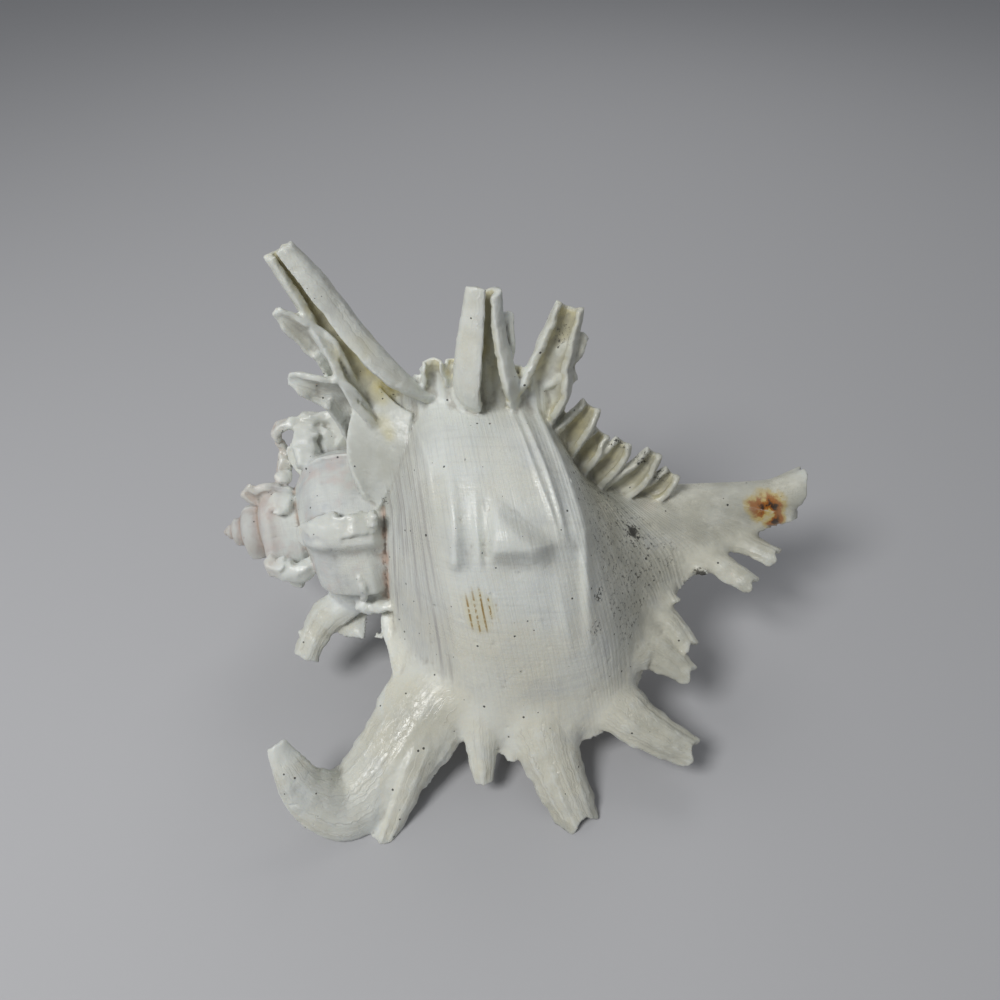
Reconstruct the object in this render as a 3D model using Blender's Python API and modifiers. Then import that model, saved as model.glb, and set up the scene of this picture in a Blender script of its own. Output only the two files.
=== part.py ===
"""Ramose murex shell, one solid, lying on its mouth.

Lengths are in millimetres until the mesh is made, then metres. The shell is laid out around its coiling
axis: x runs from the apex to the tip of the siphonal canal, r is the distance from the axis, and "back"
is how many degrees of growth lie between a place and the lip. Every turn is the next one made smaller.
"""

import math

import bpy
import numpy as np

# Driving dimensions
WHORL_RATIO = 1.95
LIP_ANGLE = -29.0
AXIS_HEIGHT = 50.0
APEX_X = -98.1
AXIS_Y = 22.1
CANAL_TIP = 195.0
CANAL_TUBE_RADIUS = 8.5
CANAL_TUBE_START = 110.0
# The tube flattens towards its tip: where that starts, loss on the lip's side, further loss away from it
CANAL_TAPER_START = 150.0
CANAL_NEAR_LOSS = 1.0
CANAL_FAR_LOSS = 3.2
RECURVE_START = 128.0
RECURVE_RISE = 9.0
RECURVE_ANGLE = 125.0
SPIRE_LEAN = 6.5
SPIRE_LEAN_START = 62.0
SPIRE_LEAN_ANGLE = -45.0

# Outline of the last whorl at the lip: distance from the apex, radius
WHORL_OUTLINE = [
    (63, 20), (66, 27), (69, 31.5), (73, 37.5), (78, 45.5), (82, 51), (87, 55.5), (93, 58), (102, 59),
    (114, 58.5), (124, 57), (131, 53.5), (136, 47.5), (140, 39), (144, 30), (149, 22), (155, 16.5),
    (162, 13.5), (172, 11), (182, 9), (190, 8.6), (195, 9.2),
]
WHORL_COUNT = 7

# A varix stands every third of a turn: height of its flare over the outline, at the size of the lip
VARIX_STEP = 120.0
VARIX_CREST = [
    (64, 0), (70, 8), (78, 13), (90, 15), (118, 15), (132, 14), (146, 11), (160, 7), (178, 4), (192, 2),
]
LIP_CREST = [
    (64, 0), (70, 8), (78, 15), (86, 20), (100, 20), (116, 17), (130, 15), (140, 13), (150, 10), (164, 7),
    (178, 4), (192, 2),
]
VARIX_BACK_SPAN = 9.0
LIP_BACK_SPAN = 13.0
VARIX_FRONT_SPAN = 2.2
ROOT_BACK_SPAN = 16.0
SPIRE_VARIX_SHARE = 0.45
LIP_VARIX_LIMIT = 60.0
LAST_TURN_LIMIT = 330.0

# Near the lip the ramp reaches further over the spire: how far, over how many degrees of growth, and
# between which places along
RAMP_SHIFT = 9.8
RAMP_SHIFT_BACK = 75.0
RAMP_SHIFT_START = 62.0
RAMP_SHIFT_LENGTH = 26.0

# The turns of the spire bulge beside the suture, and the first ones are swollen
SPIRE_SWELL = [(62, 0), (66, 7), (74, 7.5), (83, 3), (92, 0)]
APEX_SWELL_END = 24.0
APEX_SWELL_LENGTH = 12.0
APEX_SWELL_SHARE = 0.34

# Knobbed folds between the varices: degrees back, rise, spans behind and ahead, first and last place
FOLDS = [
    (62, 3.0, 22, 11, 78, 143), (182, 3.0, 22, 11, 78, 143), (302, 3.0, 22, 11, 78, 143),
    (384, 8, 20, 4, 68, 120), (418, 12, 9, 7, 64, 128), (540, 7, 14, 7, 66, 128),
    (660, 7, 14, 7, 66, 128), (742, 11, 22, 5, 66, 128), (842, 10, 20, 7, 66, 128),
    (1010, 7, 20, 8, 66, 128),
]
# Knobs along a fold: place on the outline, half width, rise
FOLD_KNOBS = [(88, 5.5, 2.6), (106, 8, 5.2), (134, 5.5, 4.2)]
FOLD_KNOB_BACK_SPAN = 15.0

# Wings of two varices over the spire: places (x, r, degrees back) along the inner and the outer edge
TOP_WING = (
    [(68, 45, 114), (66, 39, 102), (61, 30, 89), (57, 25, 76)],
    [(57, 53, 121), (50, 45, 117), (47.5, 34, 105), (52, 26, 84)],
)
LIP_WING = (
    [(64, 29, 9), (67, 39, 8), (70, 48, 7), (73, 59, 6)],
    [(56.5, 28, 5), (55.8, 38.5, 2), (58.4, 46.5, 2), (61, 58, 2)],
)
WING_HOLLOW = 2.0

# Mouth: an oval tunnel that follows the coil inwards from the lip
MOUTH_MIDDLE = (106.0, 35.0)
MOUTH_HALF_LENGTH = 28.0
MOUTH_HALF_WIDTH = 18.5
MOUTH_FRONT = -24.0
MOUTH_DEPTH = 170.0

# Slit of the siphonal canal, from the mouth to the tip
SLIT_START = 122.0
SLIT_PLACE = 326.0
SLIT_HALF_SPAN = 9.0
SLIT_FLOOR = 3.0

# Thickness of a frond's sheet, and how far its root lies under the skin, in sheets
SHEET = 2.7
ROOT_SUNK = 0.8
STUB_SHEET = 3.5
EDGE_FOLD = (0.25, 0.6)

# Fineness of the solid: points round the coil and along it, along and across a sheet, then the voxel's
# size and how few of the triangles are kept
COIL_STEPS = (300, 260)
SHEET_STEPS = (26, 9)
WING_STEPS = (20, 12)
LUMP_STEPS = (14, 16)
MOUTH_STEPS = (28, 28)
VOXEL = 1.05
THIN_RATIO = 0.046

# Block below the ground, which flattens the tips that the shell stands on
GROUND_BLOCK = 400.0

# Fronds of each varix from the shoulder to the canal: root x, middle line as (x, r, degrees back of the
# varix), then half widths there
# Lip varix, nearest the viewer
LIP_FRONDS = [
    (78, [(70, 66, 3), (59, 82, 2), (49, 90.5, 3), (38, 88, 8), (29.5, 76, 16)],
     [14, 12, 10.5, 6.5, 2.2]),
    (74, [(64, 84, 2), (58, 103, -0.5)], [7, 3.4]),
    (70, [(56, 86, 2), (47, 101.5, 0)], [7, 2.8]),
    (88, [(88, 75, 2), (89, 86.5, 0)], [4.5, 2.6]),
    (97, [(97, 70, 1), (98, 79, 0)], [3, 1.6]),
    (104, [(107, 69, 3), (111, 82, 1), (119, 99.5, -1)], [12, 8, 6.2]),
    (115, [(115, 69, 2), (116, 75, 1)], [3.4, 1.7]),
    (122, [(128, 62, 3), (140, 70.5, 2), (154, 79, 1.5)], [9.5, 6.4, 4.8]),
    (134, [(143, 48, 3), (154.5, 56, 2)], [5.8, 3.6]),
    (139, [(147, 38, 4), (154.5, 47.5, 4)], [4.6, 3]),
    (144, [(147, 28, 6), (150, 33, 6)], [4, 2]),
    (154, [(164, 19.5, 6), (176, 30.5, 6)], [4.4, 3.2]),
    (160, [(171, 13, 7), (184.5, 22.5, 7)], [4.4, 3.2]),
    (172, [(182, 7, 9), (192, 11, 9)], [3.4, 2.4]),
]
# Varix on top, whose open channels face the viewer
TOP_FRONDS = [
    (64, [(57.7, 54, 2), (49.5, 68, 3), (42, 82.5, 4), (33.2, 95, 4)], [7.5, 5.4, 4.4, 2.4]),
    (56, [(50, 50, -3), (44, 56.5, -3), (39, 61.5, -4), (35, 64, -4)], [5.5, 5, 3.6, 1.4]),
    (56, [(48.5, 72, -1), (44, 77, -3), (37, 84, -4)], [4.4, 3.4, 1.4]),
    (75, [(75, 54, 1), (75.5, 60, 1)], [3.2, 2]),
    (82, [(82.5, 53, 1), (82.8, 58, 1)], [3, 2]),
    (91, [(90.5, 57, 2), (90, 66, 3), (90.3, 74, 4)], [7, 5.2, 4.4]),
    (90, [(89.2, 70, 4), (87.7, 80.5, 4)], [2.8, 1.5]),
    (92, [(92.6, 68, 4), (94, 78.5, 4)], [2.6, 1.5]),
    (98, [(98, 52, 1), (98, 57.5, 1)], [3, 1.8]),
    (106, [(107.5, 53, 2), (109.5, 60, 3), (113.8, 73.5, 4)], [6, 4.6, 2.8]),
    (109, [(112, 57, 3), (116.8, 63.5, 3)], [3, 1.3]),
    (114, [(117.5, 38, 2), (121.5, 44, 3)], [4, 2.2]),
    (118, [(121.5, 29, 2), (125.5, 34, 3)], [3.8, 2]),
    (123, [(128.5, 24, 3), (132.6, 30.5, 3)], [3.8, 2]),
    (131, [(138, 18.5, 3), (142.8, 26, 3)], [3.8, 2]),
    (140, [(145.5, 12.5, 3), (149.5, 17.5, 3)], [3.6, 2]),
]
# Varix underneath, at the far side, which props the shell up
UNDER_FRONDS = [
    (52, [(46, 46, 4), (39, 58, 12), (33, 67.5, 18)], [6.5, 5, 3.4]),
    (62, [(62, 45, 4), (61, 53, 8)], [3.5, 2]),
    (72, [(73, 50, 6), (73, 58, 15), (74, 63.5, 23)], [6, 5, 4]),
    (79, [(79, 45, 4), (80, 52, 8)], [3.2, 2]),
    (88, [(93, 45, 6), (99, 54, 16), (106, 62, 26)], [5.5, 4.8, 4]),
    (95, [(102, 32, 4), (108, 39, 8)], [3.6, 2.2]),
    (104, [(111, 20, 4), (118, 27, 8)], [3.6, 2.2]),
    (114, [(120, 12, 4), (126, 16, 6)], [3.6, 2.2]),
]
# Worn stubs on the turns of the spire: degrees back of their varix, then as above
SPIRE_STUBS = [
    (360, 44, [(37, 33, -2), (33.5, 37, -6), (29.5, 46, -8)], [5, 4.2, 3.6]),
    (600, 27, [(23, 24, 3), (17, 30, 5)], [4, 3]),
    (840, 17, [(14, 14, 2), (11, 17, 3)], [3.2, 2.4]),
]
# Broken ledges and lumps on the spire: middle line as (x, r, degrees back), then half widths round the
# shell and half heights outwards
SPIRE_LUMPS = [
    ([(31, 18, 61), (36, 24, 61), (42, 29, 64.5), (48, 30.5, 66.5), (52.5, 30, 67), (57, 29, 67)],
     [3, 4.4, 5.2, 4.8, 4.2, 2.6], [3, 3.4, 3.4, 3.2, 3, 2]),
    ([(18.5, 17, 27), (24, 20.5, 28), (29.5, 21.5, 27), (35, 21, 28)],
     [3.6, 4.4, 4.2, 3.4], [2.6, 3.3, 3.3, 2.6]),
    ([(26, 14, 351), (25, 19.5, 349), (28.5, 21.5, 349)], [2.2, 2, 1.9], [1.8, 1.8, 1.7]),
    ([(22.4, 24, 153), (22.2, 19, 149), (23, 15, 130)], [2.2, 2.3, 2.2], [2, 2.2, 2]),
    ([(16.5, 11.5, 106), (21.4, 13, 102), (27, 13.4, 99)], [4.6, 5.8, 4.8], [2.4, 2.8, 2.6]),
    ([(19, 30, 146), (24, 33.5, 149), (31, 34.5, 151), (39, 33.5, 152), (47, 29.5, 150)],
     [2.6, 3.6, 3.9, 3.4, 2.4], [1.6, 1.9, 1.9, 1.8, 1.6]),
    ([(33, 20, 128), (31, 27, 140), (30, 33, 149)], [5, 4.6, 4], [4.5, 3.6, 2.4]),
    ([(29, 27, 142), (36, 29, 146), (44, 29, 147), (52, 27, 143), (58, 25, 138)],
     [2, 2.2, 2.2, 2.2, 2], [5, 5.4, 5.4, 5, 4]),
    ([(20, 31, 145), (21, 27, 150), (22.3, 24, 153)], [1.8, 1.7, 2], [1.6, 1.6, 1.8]),
    ([(36, 32, 355), (44, 34.5, 353), (50, 35.5, 353), (57, 36, 353)],
     [1.4, 1.4, 1.4, 1.4], [5, 6.5, 7, 7]),
    ([(47.5, 31.5, 7), (54, 33, 10), (60.5, 34, 14)], [1.8, 2, 1.8], [2.4, 2.6, 2.4]),
]
LUMP_BOXINESS = 0.6
LUMP_END_POWER = 7


def growth(back):
    """Size of the shell at this many degrees before the lip, as a share of its size at the lip."""
    return WHORL_RATIO ** (-np.asarray(back, float) / 360.0)


def smooth_step(value):
    held = np.clip(value, 0.0, 1.0)
    return held * held * (3.0 - 2.0 * held)


def outline_radius(along):
    xs, rs = zip(*WHORL_OUTLINE)
    return np.interp(along, xs, rs, left=0.0, right=0.0)


def table_value(table, along):
    places, values = zip(*table)
    return np.interp(along, places, values)


def ramp_reach(back, along):
    """How much further along the outline a place near the lip and the suture counts."""
    near_lip = np.clip(1.0 - back / RAMP_SHIFT_BACK, 0.0, 1.0)
    return RAMP_SHIFT * near_lip * (1.0 - smooth_step((along - RAMP_SHIFT_START) / RAMP_SHIFT_LENGTH))


def canal_radius(x, back):
    """Radius of the canal's tube, flattened towards the tip on the side away from the lip."""
    away = 0.5 - 0.5 * np.cos(np.radians(back - 10.0))
    taper = smooth_step((x - CANAL_TAPER_START) / (CANAL_TIP - CANAL_TAPER_START))
    radius = CANAL_TUBE_RADIUS - taper * (CANAL_NEAR_LOSS + CANAL_FAR_LOSS * away)
    return radius * smooth_step((x - CANAL_TUBE_START) / 10.0) * (x < CANAL_TIP)


def one_sided_bell(offset, span_behind, span_ahead):
    """A swelling that tapers over one span towards older growth and another towards newer growth."""
    span = np.where(offset > 0.0, span_behind, span_ahead)
    return np.exp(-((offset / span) ** 2))


def relief(back, along):
    """Height of the varices and knobbed folds over the plain outline, at the size of the lip."""
    at_lip = back < LIP_VARIX_LIMIT
    on_spire = back > LAST_TURN_LIMIT
    crest = np.where(at_lip, table_value(LIP_CREST, along), table_value(VARIX_CREST, along))
    crest = crest * np.where(on_spire, SPIRE_VARIX_SHARE, 1.0)
    offset = (back + VARIX_STEP / 2.0) % VARIX_STEP - VARIX_STEP / 2.0
    behind = np.where(at_lip, LIP_BACK_SPAN, VARIX_BACK_SPAN)
    flare = crest * np.exp(-np.where(offset > 0.0, offset / behind, -offset / VARIX_FRONT_SPAN))
    folds = np.where(on_spire, table_value(SPIRE_SWELL, along), 0.0)
    for fold_back, rise, behind, ahead, first, last in FOLDS:
        offset = back - fold_back
        stretch = smooth_step((along - first) / 10.0) * smooth_step((last - along) / 8.0)
        folds = folds + rise * stretch * one_sided_bell(offset, behind, ahead)
        if fold_back < 360.0:
            for knob_place, width, knob_rise in FOLD_KNOBS:
                knob = np.exp(-(((along - knob_place) / width) ** 2))
                folds = folds + knob_rise * knob * one_sided_bell(offset, FOLD_KNOB_BACK_SPAN, ahead)
    return flare + folds


def coil_radius(x, back):
    """Radius of the outermost turn at this x: the largest of all the turns that pass here."""
    x, back = np.broadcast_arrays(np.asarray(x, float), np.asarray(back, float))
    largest = np.zeros(x.shape)
    for turn in range(WHORL_COUNT):
        older = back + 360.0 * turn
        scale = growth(older)
        along = x / scale
        along = along + ramp_reach(older, along)
        plain = outline_radius(along)
        largest = np.maximum(largest, np.where(plain > 0.0, (plain + relief(older, along)) * scale, 0.0))
    largest = largest * (1.0 + APEX_SWELL_SHARE * smooth_step((APEX_SWELL_END - x) / APEX_SWELL_LENGTH))
    solid = np.maximum(largest, canal_radius(x, back))
    into_slit = np.clip(1.5 - np.abs(back - SLIT_PLACE) / SLIT_HALF_SPAN, 0.0, 1.0)
    into_slit = smooth_step(into_slit) * smooth_step((x - SLIT_START) / 8.0)
    return np.where(solid > SLIT_FLOOR, solid + (SLIT_FLOOR - solid) * into_slit, solid)


def place(x, r, back):
    """World position in metres of a point given by its place around the coiling axis."""
    turn = np.radians(LIP_ANGLE + back)
    recurve = RECURVE_RISE * np.clip((x - RECURVE_START) / (CANAL_TIP - RECURVE_START), 0.0, 1.2) ** 2
    recurve_turn = math.radians(RECURVE_ANGLE)
    lean = SPIRE_LEAN * np.clip((SPIRE_LEAN_START - x) / SPIRE_LEAN_START, 0.0, 1.0) ** 1.5
    lean_turn = math.radians(SPIRE_LEAN_ANGLE)
    y = AXIS_Y - r * np.cos(turn) - recurve * math.cos(recurve_turn) - lean * math.cos(lean_turn)
    z = AXIS_HEIGHT + r * np.sin(turn) + recurve * math.sin(recurve_turn) + lean * math.sin(lean_turn)
    return np.stack([x + APEX_X, y, z], axis=-1) / 1000.0


def grid_faces(rows, columns, offset=0):
    """Quads of a grid of points stored row by row."""
    return [
        (offset + i * columns + j, offset + i * columns + j + 1, offset + (i + 1) * columns + j + 1,
         offset + (i + 1) * columns + j)
        for i in range(rows - 1)
        for j in range(columns - 1)
    ]


def coil_mesh(steps_round, steps_along):
    """The coiled body as points and faces, closed at the apex, the canal tip and across the lip."""
    back = np.linspace(0.0, 360.0, steps_round + 1)[:, None]
    x = np.linspace(0.8, CANAL_TIP - 0.5, steps_along + 1)[None, :]
    radius = np.maximum(coil_radius(x, back), 0.35)
    points = place(x + 0.0 * back, radius, back + 0.0 * x)
    rows, columns = radius.shape
    faces = grid_faces(rows, columns)
    points = points.reshape(-1, 3)
    apex = len(points)
    tip = apex + 1
    ends = [place(np.array(0.3), np.array(0.0), 0.0), place(np.array(CANAL_TIP), np.array(0.0), 0.0)]
    points = np.vstack([points, ends])
    last = (rows - 1) * columns
    for i in range(rows - 1):
        faces.append((i * columns, (i + 1) * columns, apex))
        faces.append(((i + 1) * columns - 1, tip, (i + 2) * columns - 1))
    for j in range(columns - 1):
        faces.append((j, last + j, last + j + 1, j + 1))
    faces.append((0, apex, last))
    faces.append((columns - 1, last + columns - 1, tip))
    return points, faces


def smooth_line(knots, steps):
    """Points on a curve through the knots, evenly spread in the knots' own order."""
    knots = np.asarray(knots, float)
    count = len(knots)
    before = np.vstack([2 * knots[0] - knots[1], knots])
    padded = np.vstack([before, 2 * knots[-1] - knots[-2]])
    at = np.linspace(0.0, count - 1.0, steps)
    piece = np.minimum(at.astype(int), count - 2)
    share = (at - piece)[:, None]
    p0, p1, p2, p3 = (padded[piece + n] for n in range(4))
    return 0.5 * (
        2 * p1 + (p2 - p0) * share + (2 * p0 - 5 * p1 + 4 * p2 - p3) * share**2
        + (3 * p1 - p0 - 3 * p2 + p3) * share**3
    )


def unit(vectors):
    return vectors / np.maximum(np.linalg.norm(vectors, axis=-1, keepdims=True), 1e-12)


def frond_sheet(varix_back, root_x, line, half_widths):
    """Middle surface of a frond, as a grid of points: it leaves the whorl behind the varix, turns
    outwards and is folded along its length, with both edges towards the newer growth."""
    steps_along, steps_across = SHEET_STEPS
    scale = float(growth(varix_back))
    root_r = float(coil_radius(root_x, varix_back + 1.0))
    middle_r = float(coil_radius(root_x, varix_back + ROOT_BACK_SPAN * 0.5))
    behind_r = float(coil_radius(root_x, varix_back + ROOT_BACK_SPAN))
    knots = [
        (root_x, behind_r - SHEET * ROOT_SUNK * 1.6, varix_back + ROOT_BACK_SPAN),
        (root_x, middle_r - SHEET * ROOT_SUNK, varix_back + ROOT_BACK_SPAN * 0.5),
        (root_x, root_r - SHEET * ROOT_SUNK, varix_back + ROOT_BACK_SPAN * 0.2),
    ]
    knots += [(x, r, varix_back + back) for x, r, back in line]
    path = smooth_line(knots, steps_along)
    root_width = half_widths[0] + 2.5 * scale
    all_widths = [root_width, root_width, half_widths[0] + scale] + half_widths
    widths = smooth_line([[width] for width in all_widths], steps_along)[:, 0]
    middle = place(path[:, 0], path[:, 1], path[:, 2])
    tangent = unit(np.gradient(middle, axis=0))
    turn = np.radians(LIP_ANGLE + path[:, 2])
    outward = np.stack([0 * turn, -np.cos(turn), np.sin(turn)], axis=-1)
    axial = np.array([1.0, 0.0, 0.0])
    beyond, before = (float(coil_radius(root_x + step, varix_back + 1.0)) for step in (2.0, -2.0))
    slope = (beyond - before) / 4.0
    root_lean = unit(np.array([-np.clip(slope, -1.5, 1.5), 1.0]))
    lean = np.stack([tangent[:, 0], (tangent * outward).sum(-1)], axis=-1)
    share = smooth_step(np.linspace(0.0, 1.0, steps_along) * len(knots) / 3.0 - 0.5)[:, None]
    lean = unit((1.0 - share) * root_lean + share * lean)
    across = lean[:, 1:] * axial - lean[:, :1] * outward
    ahead = unit(np.cross(across, tangent))
    position = np.linspace(-1.0, 1.0, steps_across)[None, :, None]
    depth = EDGE_FOLD[0] + (EDGE_FOLD[1] - EDGE_FOLD[0]) * share
    fold = depth * widths[:, None] * position[..., 0] ** 2
    spread = position * widths[:, None, None] * across[:, None, :] / 1000.0
    return middle[:, None, :] + spread + fold[..., None] * ahead[:, None, :] / 1000.0


def thick_sheet(surface, thickness):
    """A grid of points given a thickness, as a closed body of points and faces."""
    rows, columns = surface.shape[:2]
    normal = unit(np.cross(np.gradient(surface, axis=0), np.gradient(surface, axis=1)))
    front = (surface + normal * thickness / 2000.0).reshape(-1, 3)
    rear = (surface - normal * thickness / 2000.0).reshape(-1, 3)
    count = rows * columns
    faces = grid_faces(rows, columns)
    faces += [tuple(reversed(face)) for face in grid_faces(rows, columns, count)]
    border = [j for j in range(columns)]
    border += [i * columns + columns - 1 for i in range(1, rows)]
    border += [(rows - 1) * columns + j for j in range(columns - 2, -1, -1)]
    border += [i * columns for i in range(rows - 2, 0, -1)]
    for one, two in zip(border, border[1:] + border[:1]):
        faces.append((two, one, one + count, two + count))
    return np.vstack([front, rear]), faces


def wing_sheet(edges, steps_along, steps_across):
    """Middle surface of a wing, stretched between its two edges and hollowed a little."""
    inner = smooth_line(edges[0], steps_along)[:, None, :]
    outer = smooth_line(edges[1], steps_along)[:, None, :]
    share = np.linspace(0.0, 1.0, steps_across)[None, :, None]
    line = inner + (outer - inner) * share
    hollow = WING_HOLLOW * np.sin(math.pi * share[..., 0])
    return place(line[..., 0], line[..., 1] - hollow, line[..., 2])


def lump_body(line, half_widths, half_heights):
    """A boxy bar swept along its line, rounded off at both ends, as points and faces."""
    steps, around = LUMP_STEPS
    path = smooth_line(line, steps)
    size = smooth_line(np.stack([half_widths, half_heights], axis=-1), steps)
    middle = place(path[:, 0], path[:, 1], path[:, 2])
    tangent = unit(np.gradient(middle, axis=0))
    turn = np.radians(LIP_ANGLE + path[:, 2])
    outward = np.stack([0 * turn, -np.cos(turn), np.sin(turn)], axis=-1)
    side = unit(np.cross(tangent, outward))
    up = unit(np.cross(side, tangent))
    angle = np.linspace(0.0, 2.0 * math.pi, around, endpoint=False)[None, :]
    wide = np.sign(np.cos(angle)) * np.abs(np.cos(angle)) ** LUMP_BOXINESS
    high = np.sign(np.sin(angle)) * np.abs(np.sin(angle)) ** LUMP_BOXINESS
    from_middle = np.abs(np.linspace(-1.0, 1.0, steps))
    closing = np.sqrt(np.maximum(1.0 - from_middle**LUMP_END_POWER, 0.01))[:, None]
    wide = (wide * closing * size[:, :1])[..., None] * side[:, None, :]
    high = (high * closing * size[:, 1:])[..., None] * up[:, None, :]
    points = middle[:, None, :] + (wide + high) / 1000.0
    faces = []
    for i in range(steps - 1):
        one, two = i * around, (i + 1) * around
        for j in range(around):
            after = (j + 1) % around
            faces.append((one + j, one + after, two + after, two + j))
    faces.append(tuple(reversed(range(around))))
    faces.append(tuple((steps - 1) * around + j for j in range(around)))
    return points.reshape(-1, 3), faces


def mouth_cutter_mesh(steps_in, steps_round):
    """The tunnel of the mouth, an oval swept along the coil, as points and faces."""
    share = np.linspace(0.0, 1.0, steps_in)[:, None]
    back = MOUTH_FRONT + (MOUTH_DEPTH - MOUTH_FRONT) * share
    scale = growth(np.maximum(back, 0.0))
    turn = np.linspace(0.0, 2.0 * math.pi, steps_round, endpoint=False)[None, :]
    taper = 1.0 - 0.5 * smooth_step((share - 0.75) / 0.25)
    flare = 1.0 + 0.10 * smooth_step((8.0 - back) / 16.0)
    x = MOUTH_MIDDLE[0] * scale + MOUTH_HALF_LENGTH * flare * taper * scale * np.cos(turn)
    pinch = 0.82 + 0.18 * np.sin(turn)
    r = MOUTH_MIDDLE[1] * scale + MOUTH_HALF_WIDTH * flare * taper * scale * np.sin(turn) * pinch
    points = place(x, r, back + 0.0 * turn)
    rows, columns = x.shape
    faces = []
    for i in range(rows - 1):
        for j in range(columns):
            after = (j + 1) % columns
            one, two = i * columns, (i + 1) * columns
            faces.append((one + j, two + j, two + after, one + after))
    faces.append(tuple(range(columns)))
    faces.append(tuple((rows - 1) * columns + j for j in reversed(range(columns))))
    return points.reshape(-1, 3), faces


def joined(bodies):
    """Several closed bodies of points and faces as one list of each."""
    points, faces, offset = [], [], 0
    for body_points, body_faces in bodies:
        points.append(body_points)
        faces += [tuple(offset + index for index in face) for face in body_faces]
        offset += len(body_points)
    return np.vstack(points), faces


def new_object(name, points, faces, collection, material=None):
    mesh = bpy.data.meshes.new(name)
    mesh.from_pydata([tuple(point) for point in points], [], faces)
    mesh.validate()
    if material:
        mesh.materials.append(material)
    made = bpy.data.objects.new(name, mesh)
    collection.objects.link(made)
    return made


def shell_material():
    material = bpy.data.materials.new("bleached_shell")
    material.use_nodes = True
    surface = material.node_tree.nodes["Principled BSDF"]
    surface.inputs["Base Color"].default_value = (0.76, 0.75, 0.69, 1.0)
    surface.inputs["Roughness"].default_value = 0.45
    return material


def frond_bodies():
    """Every wing, frond, stub and lump as its own closed body, to be fused with the coil."""
    bodies = [thick_sheet(wing_sheet(edges, *WING_STEPS), SHEET) for edges in (TOP_WING, LIP_WING)]
    for back, fronds in ((0.0, LIP_FRONDS), (VARIX_STEP, TOP_FRONDS), (2.0 * VARIX_STEP, UNDER_FRONDS)):
        for root_x, line, half_widths in fronds:
            bodies.append(thick_sheet(frond_sheet(back, root_x, line, half_widths), SHEET))
    for back, root_x, line, half_widths in SPIRE_STUBS:
        bodies.append(thick_sheet(frond_sheet(float(back), root_x, line, half_widths), STUB_SHEET))
    bodies += [lump_body(*lump) for lump in SPIRE_LUMPS]
    return bodies


def add_boolean(target, name, cutter):
    """Cuts a helper's shape out of the target."""
    cutter.hide_render = True
    cutter.display_type = "WIRE"
    cut = target.modifiers.new(name, "BOOLEAN")
    cut.operation = "DIFFERENCE"
    cut.object = cutter


def remove_everything():
    for item in list(bpy.data.objects):
        bpy.data.objects.remove(item)


def build():
    remove_everything()
    shown = bpy.data.collections.new("ramose_murex_shell")
    helpers = bpy.data.collections.new("cutters")
    for collection in (shown, helpers):
        bpy.context.scene.collection.children.link(collection)

    points, faces = joined([coil_mesh(*COIL_STEPS)] + frond_bodies())
    shell = new_object("shell", points, faces, shown, shell_material())

    fuse = shell.modifiers.new("fuse", "REMESH")
    fuse.mode = "VOXEL"
    fuse.voxel_size = VOXEL / 1000.0
    thin = shell.modifiers.new("thin", "DECIMATE")
    thin.ratio = THIN_RATIO

    mouth_points, mouth_faces = mouth_cutter_mesh(*MOUTH_STEPS)
    add_boolean(shell, "mouth", new_object("mouth_cutter", mouth_points, mouth_faces, helpers))

    size = GROUND_BLOCK / 1000.0
    bpy.ops.mesh.primitive_cube_add(size=size, location=(0.0, 0.0, -size / 2.0))
    ground = bpy.context.object
    ground.name = "ground_cutter"
    for collection in list(ground.users_collection):
        collection.objects.unlink(ground)
    helpers.objects.link(ground)
    add_boolean(shell, "flat_feet", ground)


build()
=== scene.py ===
# Ramose murex shell, bleached and worn, lying on its mouth

import math
from functools import partial

import bmesh
import bpy
import numpy as np
from mathutils import Matrix, Vector
from mathutils.kdtree import KDTree


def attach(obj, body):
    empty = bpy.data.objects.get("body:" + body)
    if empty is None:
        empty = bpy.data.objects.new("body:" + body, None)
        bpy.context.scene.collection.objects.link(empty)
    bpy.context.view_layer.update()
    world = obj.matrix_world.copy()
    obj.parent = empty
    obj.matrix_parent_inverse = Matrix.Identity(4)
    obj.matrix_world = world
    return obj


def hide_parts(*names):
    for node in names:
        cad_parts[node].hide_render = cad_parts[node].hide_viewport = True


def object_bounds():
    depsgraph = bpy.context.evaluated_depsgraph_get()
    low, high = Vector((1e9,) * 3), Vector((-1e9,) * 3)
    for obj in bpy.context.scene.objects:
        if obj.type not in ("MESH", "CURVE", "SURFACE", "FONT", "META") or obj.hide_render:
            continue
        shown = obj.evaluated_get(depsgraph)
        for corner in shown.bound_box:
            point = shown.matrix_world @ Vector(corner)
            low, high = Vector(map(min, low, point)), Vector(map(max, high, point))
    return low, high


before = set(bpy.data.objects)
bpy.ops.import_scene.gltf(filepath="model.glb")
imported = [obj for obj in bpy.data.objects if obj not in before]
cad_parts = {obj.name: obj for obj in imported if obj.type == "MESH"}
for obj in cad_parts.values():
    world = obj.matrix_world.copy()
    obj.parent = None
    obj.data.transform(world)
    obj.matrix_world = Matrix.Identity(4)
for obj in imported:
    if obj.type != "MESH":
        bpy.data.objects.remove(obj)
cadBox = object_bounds()
print("frame loaded")

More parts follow.
